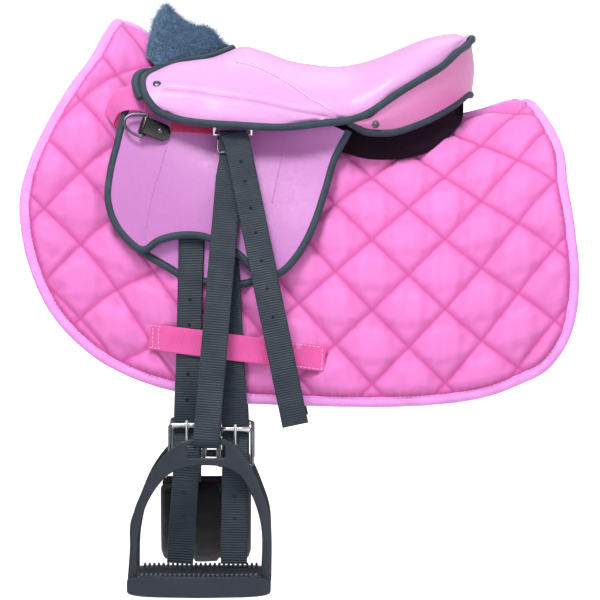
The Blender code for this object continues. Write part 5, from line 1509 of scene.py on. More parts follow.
def make_binding():
    edge = through(pad_edge(), 170)
    inside = inset(edge, 0.006, closed=False)
    edge[0][1] = edge[-1][1] = inside[0][1] = inside[-1][1] = 0
    level = np.full(len(edge), PAD_CHANNEL_THICKNESS / 2)
    run = closed_loop(draped_all(np.column_stack([edge, level])))
    inwards = closed_loop(draped_all(np.column_stack([inside, level]))) - run
    points, across = resampled(run, 0.0022, closed=True, extra=np.vstack([inwards, inwards[:1]]))
    across = unit(eased(across, 6, closed=True))
    rng = np.random.default_rng(3)
    wave = eased(rng.normal(0, 1, (len(points), 1)), 10, closed=True)[:, 0]
    sizes = 1 + np.clip(wave, -1, 1) * 0.05
    half, thick = 0.0052, 0.0046
    ring = [
        (math.copysign(abs(math.cos(a)) ** 0.6, math.cos(a)) * half + 0.0004,
         math.copysign(abs(math.sin(a)) ** 0.8, math.sin(a)) * thick)
        for a in np.linspace(0, 2 * math.pi, 18, endpoint=False)
    ]
    piece = sweep("binding", points, ring, "light_pink_binding", across=across, closed=True, sizes=sizes)
    placed(piece, "saddle", "pad_binding")
    lifts = np.full(len(edge), PAD_CHANNEL_THICKNESS + 0.0015)
    line = inset(edge, 0.0036, closed=False)
    above = draped_all(np.column_stack([line, lifts + 0.002])[2:-2])
    line = draped_all(np.column_stack([line, lifts])[2:-2])
    pair(stitches("binding_stitches_left", line, above - line, "pink_thread"), "saddle")


def make_spine_tape():
    edge = pad_edge()
    front = edge[0][0] + BINDING_RADIUS
    rear = edge[-1][0] - BINDING_RADIUS
    half = SPINE_TAPE_WIDTH / 2
    places = [*np.linspace(-1, 1, 13), *np.linspace(1, -1, 13)]
    rows = []
    uv = []
    for x in np.linspace(front, rear, 110):
        bow = min(1, (min(x - front, rear - x) + 0.002) / 0.016) ** 0.5
        top = PAD_CHANNEL_THICKNESS + 0.0004 + (PAD_THICKNESS + 0.0017 - PAD_CHANNEL_THICKNESS) * bow
        ring = [draped(x, abs(a) * half, top + 0.0002 * (1 - abs(a) ** 4)) for a in places[:13]]
        ring += [draped(x, abs(a) * half * 0.99, PAD_CHANNEL_THICKNESS * 0.8) for a in places[13:]]
        rows.append([(p[0], p[1] * -np.sign(a) if a else 0, p[2]) for p, a in zip(ring, places)])
        uv.append([(a * half, x) for a in places])
    piece = grid_mesh("spine_tape", rows, "light_pink_binding", uv, closed=True, caps=True)
    placed(rounded(piece, 40), "saddle", "pad_spine_tape")


def make_keeper():
    """The loop that holds the girth straps: sewn down at its ends and bridged between them."""
    path = []
    side = []
    for share in np.linspace(0, 1, 61):
        x = KEEPER_FRONT[0] + (KEEPER_REAR[0] - KEEPER_FRONT[0]) * share
        z = KEEPER_FRONT[1] + (KEEPER_REAR[1] - KEEPER_FRONT[1]) * share
        bridge = np.interp(share, [0, 0.04, 0.12, 0.60, 0.74, 1], [0, 0, 1, 1, 0, 0])
        bridge = bridge * bridge * (3 - 2 * bridge)
        over_cell = np.interp(share, [0.62, 0.74, 0.94, 1], [0, 1, 1, 0.3]) * 0.0022
        low = PAD_THICKNESS - 0.001 + WEB_THICKNESS / 2 + over_cell
        path.append(near(x, z, low + (KEEPER_LIFT - low) * bridge))
        side.append(np.cross(outward(x, z, low), level_side(x, z, low)))
    left = strap("girth_loop_left", path, side, WEB_WIDTH, WEB_THICKNESS, "hot_pink_web")
    pair(left, "saddle", "pad_girth_loop_left")
    path = np.array(path)
    side = unit(np.array(side))
    out = np.array([outward(*p[[0, 2]], PAD_THICKNESS) for p in path])

    def sewn(k, share):
        return path[k] + side[k] * WEB_WIDTH * share + out[k] * 0.0010

    lines = []
    for first, last in ((0, 4), (47, 60)):
        for share in (-0.42, 0.42):
            lines.append(([sewn(k, share) for k in range(first, last + 1)], out[first]))
    for k in (1, 3, 47, 59):
        lines.append(([sewn(k, share) for share in np.linspace(-0.42, 0.42, 7)], out[k]))
    rows = [stitches(f"row_{n}", line, normal, "pink_thread") for n, (line, normal) in enumerate(lines)]
    pair(joined("girth_loop_stitches_left", rows), "saddle")


# Seat


def line_distance(points, line):
    """Distance of flat points from a polyline."""
    best = np.full(len(points), 1e9)
    for a, b in zip(line[:-1], line[1:]):
        step = b - a
        t = np.clip(((points - a) @ step) / step.dot(step), 0, 1)
        away = np.linalg.norm(points - a - t[:, None] * step, axis=1)
        best = np.minimum(best, away)
    return best


SEAT_FOLD = pixels((166, 89), (197, 92), (233, 97), (270, 104), (294, 110), (323, 116), (336, 119))
SEAT_SEAM = pixels((232, 61), (250, 65), (270, 73), (289, 84), (308, 97), (325, 107), (338, 117))


def seat_grid(rows, columns):
    shares = np.linspace(SEAT_ROW_SHARES[0], SEAT_ROW_SHARES[-1], rows)
    grid = np.array([[seat_point(share, a) for a in np.linspace(0, 1, columns)] for share in shares])
    for row, share in zip(grid, shares):
        if share >= NOTCH_WIDTH_SHARES[-1][0]:
            row[0][1] = 0
    return grid


def hollow(away, deep, wide, middle=0.0):
    """Height of a groove or ridge at this distance from its line."""
    return deep * np.exp(-(((away - middle) / wide) ** 2))


def outward_normals(grid):
    normals = unit(np.cross(np.gradient(grid, axis=0), np.gradient(grid, axis=1)))
    up = np.sign(np.sum(normals * np.array((0, -0.3, 1)), axis=-1))[..., None]
    return normals * np.where(up == 0, 1, up)


def make_seat():
    grid = seat_grid(190, 90)
    high, wide = grid.shape[:2]
    normals = outward_normals(grid)
    flat = grid[..., (0, 2)].reshape(-1, 2)
    fold = line_distance(flat, through(SEAT_FOLD, 40))
    sewn = line_distance(flat, through(SEAT_SEAM, 40))
    dip = hollow(fold, 0.0013, 0.0016) + hollow(sewn, 0.0005, 0.0016)
    swell = hollow(fold, 0.0008, 0.004, 0.006) + hollow(sewn, 0.0002, 0.003, 0.004)
    change = (swell - dip).reshape(high, wide)
    change[0] = change[-1] = 0
    ripple = np.array([noise.noise((p[0] * 45, p[1] * 45, p[2] * 45)) for p in grid.reshape(-1, 3)])
    change += ripple.reshape(high, wide) * 0.00035
    change[:, -1] = 0
    move = normals * change[..., None]
    move[:, 0, 1] = 0
    grid = grid + move
    tucked = PIPING_RADIUS * 0.75
    grid[:, -1] += unit(grid[:, -1] - grid[:, -2]) * tucked
    grid[0] += unit(grid[0] - grid[1]) * tucked
    grid[-1] += unit(grid[-1] - grid[-2]) * tucked * 0.1
    seat = grid_mesh("seat", grid, "lilac_leather")
    # Painted shade in the fold's crease, and a faint darkening along the sewn seam, for the leather
    marked(seat.data, "seam", np.clip(hollow(fold, 1, 0.0011) * 0.8 + hollow(sewn, 1, 0.0011) * 0.25, 0, 1))
    thin = seat.vertex_groups.new(name="thinner_at_the_tip")
    for row in range(high):
        weight = float(np.interp(high - 1 - row, (0, 6, 12), (0.1, 0.25, 1)))
        thin.add(list(range(row * wide, (row + 1) * wide)), weight, "REPLACE")
    mirrored_shell(seat, SEAT_THICKNESS, -1).vertex_group = thin.name
    if sum(face.normal.z * face.area for face in seat.data.polygons) < 0:
        edited(seat, lambda work: bmesh.ops.reverse_faces(work, faces=work.faces))
    seat = rounded(baked(seat), 60)
    placed(seat, "saddle", "seat_cover")

    # Stitches beside the long seam
    seam_points = []
    seam_out = []
    for place in through(SEAT_SEAM, 60)[2:-3]:
        r, c = divmod(np.argmin(np.linalg.norm(flat - place, axis=1)), wide)
        seam_points.append(grid[r, c] + normals[r, c] * 0.0006)
        seam_out.append(normals[r, c])
    path, out = resampled(eased(seam_points, 3), 0.002, extra=seam_out)
    sewn = stitches("seat_stitches_left", path, out, "pale_thread", length=0.0027, gap=0.0012, radius=0.0006)
    pair(sewn, "saddle")

    near_run = through(seat_edge_path(), 260)
    near_run[0][1] = near_run[-1][1] = 0
    placed(piping("seat_edge", closed_loop(near_run), closed=True, ease=22), "saddle", "seat_piping")

    # The panel's own bound edge, seen just ahead of the skirt
    rearmost, lowest = at_pixel(166, 101)
    ahead = [p for p in near_run if p[1] < -0.03 and p[0] < rearmost and p[2] > lowest]
    ahead = np.array(ahead) + np.array((-0.0062, 0.0045, 0.0010))
    pair(piping("panel_edge_left", ahead, 1.05), "saddle")


FACING_TIP_SHARE = 0.062


def make_facing():
    upper, lower = facing_lines()
    tip = seat_point(FACING_LOW_SHARES[0][0] - FACING_TIP_SHARE, 1) + np.array((0, 0, -PIPING_RADIUS))
    upper = through([tip, *upper], 80)
    lower = through([tip - np.array((0, 0, PIPING_RADIUS * 0.6)), *lower], 80)
    upper[-1][1] = lower[-1][1] = 0
    rows = []
    for share in np.linspace(-0.04, 1.04, 12):
        line = upper * (1 - share) + lower * share
        bulge = math.sin(math.pi * min(1, max(0, share))) * 0.0022
        away = line - np.array((line[:, 0].min(), 0, line[:, 2].mean()))
        away[:, 2] = 0
        rows.append(line + unit(away) * bulge)
        rows[-1][-1][1] = 0
    facing = grid_mesh("cantle_band", rows, "pink_leather")
    mirrored_shell(facing, FACING_THICKNESS, 0)
    placed(rounded(faced_out(baked(facing)), 60), "saddle", "cantle_facing")
    fall = np.clip(np.linspace(0, 1, len(lower)) * 12, 0.2, 1)[:, None]
    near_run = through(lower + fall * np.array((0, 0, -(PIPING_RADIUS + GAP))), 120)
    run = np.vstack([near_run, near_run[-2::-1] * MIRRORED])
    placed(piping("cantle_edge", run), "saddle", "cantle_piping")


def panel_section(share):
    """One ring of the left panel, from the seat's underside to the pad."""
    levels = np.linspace(0, 1, 9)
    x = SEAT_FRONT + SEAT_LENGTH * share
    foot = PANEL_HALF_WIDTH * smooth(PANEL_WIDTH_SHARES, share)
    notch, edge = seat_widths(share)
    inner = max(PANEL_GULLET, notch + PANEL_NOTCH_MARGIN)
    outer = min(foot, edge - PANEL_FACING_MARGIN - PANEL_CROWN)
    spread = PANEL_FOOT_SPREAD * min(1, max(0, (share - 0.60) / 0.08))
    tops = [(y, float(seat_top(x, y)) - PANEL_DEPTH) for y in inner + (outer - inner) * levels]
    low_places = inner + (foot + spread - inner) * levels
    feet = [(y, float(body_top(x, y, PAD_THICKNESS - 0.0008))) for y in low_places]
    below = facing_piping_level(share) - PIPING_RADIUS - FACING_CLEARANCE
    middle = (tops[-1][1] + feet[-1][1]) / 2
    if share > FACING_LOW_SHARES[0][0]:
        middle = max(min(middle, below), feet[-1][1] + PANEL_CROWN)
    crown = outer + PANEL_CROWN
    low_crown = max(outer, foot + spread) + PANEL_CROWN
    ring = [*tops, (crown, middle)]
    ring += [((crown + low_crown) / 2 + 0.0006, middle * 0.65 + feet[-1][1] * 0.35)]
    ring += [(low_crown, middle * 0.3 + feet[-1][1] * 0.7), *reversed(feet)]
    ring.append((inner - PANEL_CROWN, (tops[0][1] + feet[0][1]) / 2))
    return np.array([(x, -y, z) for y, z in ring])


def rounded_end(ring, way):
    """Two smaller rings that close a panel's end."""
    middle = ring.mean(axis=0)
    steps = ((0.90, 0.0022), (0.66, 0.0040))
    return [middle + (ring - middle) * size + np.array((way * step, 0, 0)) for size, step in steps]


def make_panels():
    shares = np.linspace(PANEL_ROW_SHARES[0], PANEL_ROW_SHARES[-1], 30)
    sections = [panel_section(share) for share in shares]
    sections = rounded_end(sections[0], -1)[::-1] + sections + rounded_end(sections[-1], 1)
    left = grid_mesh("stuffed_panel_left", sections, "plum_cloth", closed=True, caps=True)
    for obj in pair(rounded(finer(left), 60), "saddle", "panel_left"):
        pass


def fleece_point(along, part, lift=0.0):
    """A place on the fleece hump: along from its front to its rear, part from the ridge to the foot."""
    base = PAD_THICKNESS + FLEECE_CLEARANCE + SPINE_TAPE_THICKNESS
    rear = SEAT_FRONT + SEAT_LENGTH * FLEECE_REAR_SHARE
    front = SEAT_FRONT + SEAT_LENGTH * (FLEECE_FRONT_SHARE - FLEECE_SIDE_REACH_SHARE * part)
    rise = FLEECE_HEIGHT * smooth(FLEECE_RISE_SHARES, along)
    foot = NOTCH_HALF_WIDTH * smooth(FLEECE_FOOT_SHARES, along)
    x = front + (rear - front) * along
    level = float(body_top(x, foot * part, base))
    return np.array((x, -foot * part, level + rise * (1 - part) ** FLEECE_SLOPE_POWER + lift)), level


FIBRES = 15000
FIBRE_ANGLES = (0, 2.1, 4.2)
# How far up each fibre its seven points are, 0 at the root and 1 at the tip: it weights the painted highlight
FIBRE_TIPS = [0, 0, 0, 0.35, 0.35, 0.35, 1.0]


def fibre_points(rng, along, part):
    """One fibre's root, middle and tip, or nothing where the hump has no direction."""
    place, _ = fleece_point(along, part)
    ahead, _ = fleece_point(min(1, along + 0.01), part)
    aside, _ = fleece_point(along, min(1, part + 0.01) if part < 0.99 else part - 0.01)
    square = np.cross(ahead - place, aside - place)
    size = np.linalg.norm(square)
    if size < 1e-12:
        return []
    square = square / size
    if square[2] < 0:
        square = -square
    lean = rng.normal(0, 0.45, 3) + np.array((0.15, 0, 0.1))
    if along < 0.05:
        lean += np.array((-0.9, 0, 0))
    way = square + lean
    way /= np.linalg.norm(way)
    if rng.uniform() < 0.5:
        place = place * MIRRORED
        way = way * MIRRORED
    long = rng.uniform(0.0022, 0.0052)
    wide = rng.uniform(0.00016, 0.00030)
    a = np.cross(way, (0.31, 0.52, 0.8))
    a /= np.linalg.norm(a)
    b = np.cross(way, a)
    root = place - way * 0.0006
    bend = rng.normal(0, 0.25, 3) * long
    around = [a * math.cos(angle) + b * math.sin(angle) for angle in FIBRE_ANGLES]
    middle = [root + way * long * 0.6 + bend * 0.3 + out * wide * 0.7 for out in around]
    return [root + out * wide for out in around] + middle + [root + way * long + bend]


def make_fleece():
    parts = np.linspace(0, 1, 15)
    sections = []
    for along in np.linspace(0, 1, 34):
        over = []
        under = []
        for part in parts:
            place, level = fleece_point(along, part)
            bump = noise.noise((place[0] * 160, part * 9, place[2] * 160)) * 0.0012 * (1 - part)
            over.append(place + np.array((0, 0, bump)))
            under.append(np.array((place[0], place[1], level - 0.001)))
        ring = over[::-1] + [p * MIRRORED for p in over[1:-1]]
        sections.append(ring + [p * MIRRORED for p in under[::-1]] + under[1:])
    hump = rounded(grid_mesh("withers_fleece", sections, "blue_grey_fleece", closed=True, caps=True), 50)
    marked(hump.data, "tip", np.zeros(len(hump.data.vertices)))
    placed(hump, "saddle", "pommel_fleece")

    rng = np.random.default_rng(11)
    verts = []
    faces = []
    for _ in range(FIBRES):
        first = len(verts)
        verts += fibre_points(rng, rng.uniform(0, 1), rng.uniform(0, 1) ** 0.9)
        if len(verts) == first:
            continue
        for c, d in ((0, 1), (1, 2), (2, 0)):
            faces.append((first + c, first + d, first + 3 + d, first + 3 + c))
            faces.append((first + 3 + c, first + 3 + d, first + 6))
        faces.append((first + 2, first + 1, first))
    mesh = bpy.data.meshes.new("withers_pile")
    mesh.from_pydata([tuple(v) for v in verts], [], faces)
    # Painted highlight on the fibre tips, at random strength
    tips = np.array(FIBRE_TIPS * (len(verts) // len(FIBRE_TIPS)), np.float32)
    marked(mesh, "tip", tips * rng.uniform(0.2, 1.0, len(tips)).astype(np.float32))
    placed(rounded(link("withers_pile", mesh, "blue_grey_fleece"), 80), "saddle")


# Flaps


def on_flap_frame(shares):
    return scaled(shares, FLAP_FRONT, FLAP_LENGTH, FLAP_BOTTOM, FLAP_DROP)


def flap_piece(name, shares, margin, lift, thickness, wave):
    outline = inset(through(on_flap_frame(shares), 220), margin, closed=False)
    outline = np.vstack([outline[1:-1], on_flap_frame(FLAP_TOP_SHARES)])
    centre = (FLAP_FRONT + FLAP_LENGTH / 2, FLAP_BOTTOM + FLAP_DROP / 2)
    slab = (centre, FLAP_LENGTH, FLAP_LENGTH / 8, 0, 6, thickness)
    # The flap takes the darker copy of the lilac leather, a painted shade
    piece = cut_slab(name + "_slab", outline, "deep_lilac", *slab)

    def lay(work):
        bmesh.ops.remove_doubles(work, verts=work.verts, dist=0.00003)
        bmesh.ops.triangulate(work, faces=[f for f in work.faces if len(f.verts) > 4])
        for vert in work.verts:
            x, z, depth = vert.co
            swell = noise.noise((x * 28, z * 28, 5)) * wave
            vert.co = near(x, z, lift - thickness / 2 + depth + swell, hang_side)
        bmesh.ops.recalc_face_normals(work, faces=work.faces)

    edited(piece, lay)
    piece.name = name
    return rounded(coated(piece, "deep_lilac"), 45)


def on_flap(points, lift):
    """Places on the flap, with the outward direction at each."""
    path = [near(x, z, lift, hang_side) for x, z in points]
    out = [outward(x, z, lift, hang_side) for x, z in points]
    return np.array(path, float), np.array(out, float)


FLAP_SEAMS = {
    "front": pixels((169, 139), (164, 155), (160, 170), (155, 185), (151, 200), (147, 222), (144, 243)),
    "rear": pixels((287, 136), (283, 154), (279, 170), (275, 188), (271, 208)),
}


def make_flaps():
    under = flap_piece(
        "under_skirt_left", UNDER_FLAP_OUTLINE_SHARES, UNDER_FLAP_INSET, UNDER_FLAP_LIFT,
        UNDER_FLAP_THICKNESS, 0.0002,
    )
    pair(under, "saddle", "under_flap_left")
    margin = PIPING_RADIUS * 0.4
    flap = flap_piece("side_flap_left", FLAP_OUTLINE_SHARES, margin, FLAP_LIFT, FLAP_THICKNESS, 0.0003)
    pair(flap, "saddle", "flap_left")
    outline = through(on_flap_frame(FLAP_OUTLINE_SHARES), 260)
    path = [near(x, z, FLAP_LIFT, hang_side) for x, z in outline]
    pair(piping("flap_edge_left", path, ease=1), "saddle", "flap_piping_left")
    lower = through(on_flap_frame(UNDER_FLAP_OUTLINE_SHARES[5:14]), 120)
    path = [near(x, z, UNDER_FLAP_LIFT, hang_side) for x, z in lower]
    pair(piping("under_skirt_edge_left", path, 0.92, ease=1), "saddle")
    rows = []
    for where, line in FLAP_SEAMS.items():
        path, out = on_flap(through(line, 40), FLAP_LIFT + FLAP_THICKNESS / 2 + 0.0002)
        rows.append(stitches("row_" + where, path, out, "mauve_thread", length=0.0026, gap=0.0014))
    pair(joined("flap_stitches_left", rows), "saddle")


# Stirrup leather, buckles and stirrup

# Heights of the holes in the photograph
LEATHER_HOLE_PIXELS = (155, 181, 208, 233, 260, 289, 316)
BILLET_HOLE_PIXELS = {
    "front": (492, 515, 300, 325, 350, 375, 400),
    "rear": (495, 517, 300, 325, 350, 370, 389),
}
GIRTH_BELLY_WIDTH = float(half_width(GIRTH_CENTRE))


def make_leather():
    points = eased(resampled(leather_points(), 0.0014), 3)
    sides = np.tile((1.0, 0, 0), (len(points), 1))
    tail = points[int(len(points) * 0.72):]
    profile = strap_profile(WEB_WIDTH, WEB_THICKNESS, 0.0002)
    left = sweep("stirrup_strap_left", points, profile, "black_web", across=sides)
    holes = []
    for v in LEATHER_HOLE_PIXELS:
        k = np.argmin(np.abs(tail[:, 2] - at_pixel(0, v)[1]))
        holes.append(tuple(tail[k] + np.array((0, 0.0004 - 0.004, 0))))
    pair(rounded(drilled(left, holes, 0.0016, 0.008), 50), "leather_left", "stirrup_leather_left")

    half = WEB_WIDTH / 2 + LEATHER_BUCKLE_RADIUS + 2 * GAP
    high = LEATHER_BUCKLE_DROP
    low = LEATHER_BUCKLE_DROP + LEATHER_BUCKLE_HEIGHT
    corners = [(-half, high), (-half, low), (half, low), (half, high)]
    ring = [beside_bar(BAR_CENTRE + across, LEATHER_BUCKLE_STAND, drop) for across, drop in corners]
    radius = LEATHER_BUCKLE_RADIUS
    buckle = tube("strap_buckle_left", ring, radius, "dark_steel", closed=True, spacing=0.0011, ease=2)
    pair(buckle, "leather_left", "leather_buckle_left")


def iron_slot(eye_x, top):
    """The eye's outline: a rectangle with round corners."""
    corner = 0.003
    low = top - EYE_HEIGHT
    outline = []
    for cx, cz, start in (
        (eye_x + EYE_HALF_WIDTH - corner, top - corner, 0),
        (eye_x - EYE_HALF_WIDTH + corner, top - corner, 90),
        (eye_x - EYE_HALF_WIDTH + corner, low + corner, 180),
        (eye_x + EYE_HALF_WIDTH - corner, low + corner, 270),
    ):
        for angle in np.radians(np.linspace(start, start + 90, 6)):
            outline.append((cx + corner * math.cos(angle), cz + corner * math.sin(angle)))
    return outline


def iron_arch(eye_x, eye_y, slot_top):
    half = IRON_DEPTH / 2
    frame_place = (IRON_FRONT, IRON_WIDTH, IRON_BOTTOM, IRON_HEIGHT)
    arch = solid_outline("stirrup_arch", through(scaled(IRON_OUTSIDE_SHARES, *frame_place), 110), -half, half)
    for outline in (through(scaled(IRON_INSIDE_SHARES, *frame_place), 90), iron_slot(eye_x, slot_top)):
        arch = boolean(arch, solid_outline("window", outline, -half - OVERRUN, half + OVERRUN), "DIFFERENCE")

    def slim(work):
        for vert in work.verts:
            x, z, depth = vert.co
            above = min(1, max(0, (z - slot_top + 0.002) / 0.002))
            near_eye = math.exp(-(((x - eye_x) / 0.016) ** 4)) * above
            vert.co.z = depth * (1 - near_eye * (1 - EYE_RIM_HALF_DEPTH / half))

    edited(arch, slim)
    soft = arch.modifiers.new("edges", "BEVEL")
    soft.width = 0.0016
    soft.segments = 3
    soft.limit_method = "ANGLE"
    soft.angle_limit = math.radians(50)
    arch = baked(arch)
    arch.data.transform(Matrix.Translation((0, eye_y, 0)) @ Matrix.Rotation(math.pi / 2, 4, "X"))
    return coated(arch, "black_composite")


def iron_tread(eye_y):
    """The tread's block, rounded more at its sides, and its ribs."""
    high = IRON_BOTTOM + TREAD_THICKNESS
    reach = TREAD_DEPTH / 2
    rear = IRON_FRONT + IRON_WIDTH
    rows = []
    for y in (-1.0, -0.97, -0.88, -0.6, 0, 0.6, 0.88, 0.97, 1.0):
        row = []
        pinch = {1.0: 0.55, 0.97: 0.80, 0.88: 0.96}.get(abs(y), 1.0)
        for a in np.linspace(0, 2 * math.pi, 44, endpoint=False):
            wide = math.copysign(abs(math.cos(a)) ** 0.28, math.cos(a))
            tall = math.copysign(abs(math.sin(a)) ** 0.34, math.sin(a))
            x = (IRON_FRONT + rear) / 2 + wide * IRON_WIDTH / 2 * (0.97 + 0.03 * pinch)
            belly = -0.0018 * (1 - wide**2) if tall < 0 else 0
            z = (IRON_BOTTOM + high) / 2 + 0.0009 + tall * (TREAD_THICKNESS / 2 - 0.0009) * pinch + belly
            row.append((x, eye_y + y * reach, z))
        rows.append(row)
    pieces = [grid_mesh("stirrup_tread", rows, "black_composite", closed=True, caps=True)]
    wide = 0.0015
    half_ring = [(wide, -0.002), (wide * 0.8, 0.0014), (wide * 0.4, TREAD_RIB_HEIGHT)]
    section = [(-a, rise) for a, rise in half_ring] + half_ring[::-1]
    for k in range(TREAD_RIBS * 2 - 1):
        share = (k + 0.5) / (TREAD_RIBS * 2 - 1)
        x = IRON_FRONT + IRON_WIDTH * (0.09 + 0.82 * share)
        rows = []
        for y in (-0.9, -0.85, 0, 0.85, 0.9):
            ring = [(x + a, high + rise) for a, rise in section]
            cap = high + 0.0008 if abs(y) > 0.86 else high + TREAD_RIB_HEIGHT
            rows.append([(px, eye_y + y * reach, min(pz, cap)) for px, pz in ring])
        pieces.append(grid_mesh("rib", rows, "black_composite", closed=True, caps=True))
    return pieces


def make_iron():
    eye_x, eye_y, eye_z = eye_centre()
    pieces = [iron_arch(eye_x, eye_y, eye_z - EYE_RIM_HALF_HEIGHT), *iron_tread(eye_y)]
    whole = joined("riding_stirrup_left", [faced_out(piece) for piece in pieces])
    pair(rounded(whole, 35), "stirrup_left", "stirrup_iron_left")


def make_billets():
    for which, (_, z) in BUCKLE_PLACES.items():
        path, side = billet_points(which)
        points, sides = resampled(path, 0.0016, extra=side)
        points = eased(points, 3)
        profile = strap_profile(WEB_WIDTH, BILLET_THICKNESS * 0.85, 0.0002)
        piece = sweep(f"girth_strap_{which}_left", points, profile, "black_web", across=unit(sides))

        def centre_at(level):
            return points[np.argmin(np.abs(points[:, 2] - level))]

        holes = [centre_at(at_pixel(0, v)[1]) for v in BILLET_HOLE_PIXELS[which]]
        holes = [(hx, hy + 0.0004 - 0.0045, hz) for hx, hy, hz in holes]
        holes.append(tuple(centre_at(z - BUCKLE_HEIGHT * HOLE_SHARE)))
        piece = rounded(drilled(piece, holes, 0.0018, 0.009), 50)
        pair(piece, "saddle", f"billet_{which}_left")


def make_roller(which, x, y, z):
    length = BUCKLE_INSIDE_WIDTH - 2 * GAP
    bore = BUCKLE_WIRE_RADIUS + GAP
    half = [(1, bore), (1, ROLLER_RADIUS * 0.93), (0.95, ROLLER_RADIUS), (0.3, ROLLER_RADIUS * 0.985)]
    section = [(-along, radius) for along, radius in half] + half[::-1]
    angles = np.linspace(0, 2 * math.pi, 20, endpoint=False)
    rows = [
        [(x + along * length / 2, y + radius * math.cos(a), z + radius * math.sin(a)) for a in angles]
        for along, radius in section + [section[0]]
    ]
    roller = grid_mesh(f"bright_roller_{which}_left", rows, "bright_steel", closed=True)
    pair(rounded(faced_out(welded(roller, 1e-6)), 40), f"roller_{which}_left", f"girth_roller_{which}_left")


def make_girth_buckles():
    for which, (x, z) in BUCKLE_PLACES.items():
        _, y, low = buckle_bar(which)
        half = BUCKLE_INSIDE_WIDTH / 2 + BUCKLE_WIRE_RADIUS
        ring = [(x - half, y, z), (x - half, y, low), (x + half, y, low), (x + half, y, z)]
        name = f"girth_frame_{which}_left"
        wire = tube(name, ring, BUCKLE_WIRE_RADIUS, "dark_steel", closed=True, spacing=0.0012, ease=2)
        pair(wire, "saddle", f"girth_buckle_{which}_left")
        make_roller(which, x, y, z)
        hook = BUCKLE_WIRE_RADIUS + GAP + TONGUE_RADIUS
        rest = ROLLER_RADIUS + 2 * GAP + TONGUE_RADIUS
        path = turn_round((x, y, low), hook, -60, -225, 9)
        path += [(x, y, low + hook * 1.8), (x, y - rest, z), (x, y - rest, z + rest)]
        name = f"bright_tongue_{which}_left"
        tongue = tube(name, path, TONGUE_RADIUS, "bright_steel", spacing=0.0010, ease=1)
        pair(tongue, f"tongue_{which}_left", f"girth_tongue_{which}_left")


def belly_point(x, lift, angle):
    """A place round the belly, at this lift and this angle from its lowest line."""
    wide = GIRTH_BELLY_WIDTH + lift
    deep = BELLY_DEPTH + lift
    return (x, wide * math.sin(angle), -BARREL_WIDEST_DROP - deep * math.cos(angle))


def girth_web_path(which):
    x, y, z = buckle_bar(which)
    turn = BUCKLE_WIRE_RADIUS + GAP + WEB_THICKNESS / 2
    loop = turn_round((x, y, z), turn, 0, 180, 9)
    half = [(x, y - turn, z - GIRTH_LOOP_LENGTH), *loop]
    entry = girth_end_angle() - GIRTH_THICKNESS / (GIRTH_BELLY_WIDTH + GIRTH_WEB_LIFT)
    step = np.array(belly_point(x, GIRTH_WEB_LIFT, -entry)) - np.array(half[-1])
    for across, down in ((0.18, 0.16), (0.52, 0.40), (0.80, 0.62), (0.94, 0.80)):
        half.append((x, loop[-1][1] + step[1] * across, loop[-1][2] + step[2] * down))
    half += [belly_point(x, GIRTH_WEB_LIFT, -angle) for angle in np.linspace(entry, 0, 14)]
    return half + [(px, -py, pz) for px, py, pz in half[-2::-1]]


def girth_section(angle, start):
    """One ring of the padded girth, thinner and narrower towards its two ends."""
    half = GIRTH_WIDTH / 2
    ridge = GIRTH_RIDGE_WIDTH / 2
    near_end = max(0.0, 1 - (start - abs(angle)) * GIRTH_BELLY_WIDTH / 0.010)
    waist = half * (1 - 0.11 * near_end**2)
    thin = 0.35 + 0.65 * math.sqrt(max(0.0, 1 - near_end**2))
    low = GIRTH_LIFT + GIRTH_THICKNESS * 0.5 * (1 - thin)
    over = []
    under = []
    for a in np.linspace(-1, 1, 43):
        place = a * half
        edge = max(0.0, 1 - abs(a) ** 5) ** 0.5
        crown = 0.80 + 0.20 * edge - 0.55 * max(0, (abs(a) - 0.90) / 0.10) ** 2
        groove = 0.0022 * math.exp(-(((abs(place) - ridge * 1.08) / 0.0018) ** 2))
        lift_ridge = GIRTH_RIDGE_HEIGHT * (1 if abs(place) < ridge * 0.9 else 0)
        up = GIRTH_LIFT + (GIRTH_THICKNESS * crown - groove + lift_ridge * 0.8) * thin
        up += noise.noise((place * 60, angle * 9, 2)) * 0.0006
        over.append(belly_point(GIRTH_CENTRE + a * waist, up, angle))
        under.append(belly_point(GIRTH_CENTRE + a * waist, low, angle))
    return over + under[::-1]


def make_girth():
    for which in BUCKLE_PLACES:
        path = girth_web_path(which)
        name = f"girth_webbing_{which}"
        web = strap(name, path, (1, 0, 0), WEB_WIDTH, WEB_THICKNESS, "black_web", spacing=0.0024)
        placed(web, "saddle", f"girth_web_{which}")
    start = girth_end_angle()
    sections = [girth_section(angle, start) for angle in np.linspace(-start, start, 150)]
    girth = rounded(grid_mesh("padded_girth", sections, "black_padding", closed=True, caps=True), 60)
    placed(girth, "saddle", "girth_pad")
    angles = np.linspace(-start * 0.985, start * 0.985, 120)
    out = [(0, math.sin(angle), -math.cos(angle)) for angle in angles]
    rows = []
    for side in (-1, 1):
        for place, rise in ((GIRTH_RIDGE_WIDTH / 2 * 1.1, 0.83), (GIRTH_WIDTH / 2 * 0.90, 0.86)):
            up = GIRTH_LIFT + GIRTH_THICKNESS * rise
            line = [belly_point(GIRTH_CENTRE + side * place, up, angle) for angle in angles]
            rows.append(stitches("row", line, out, "black_thread"))
    placed(joined("girth_stitches", rows), "saddle")


# Small fittings


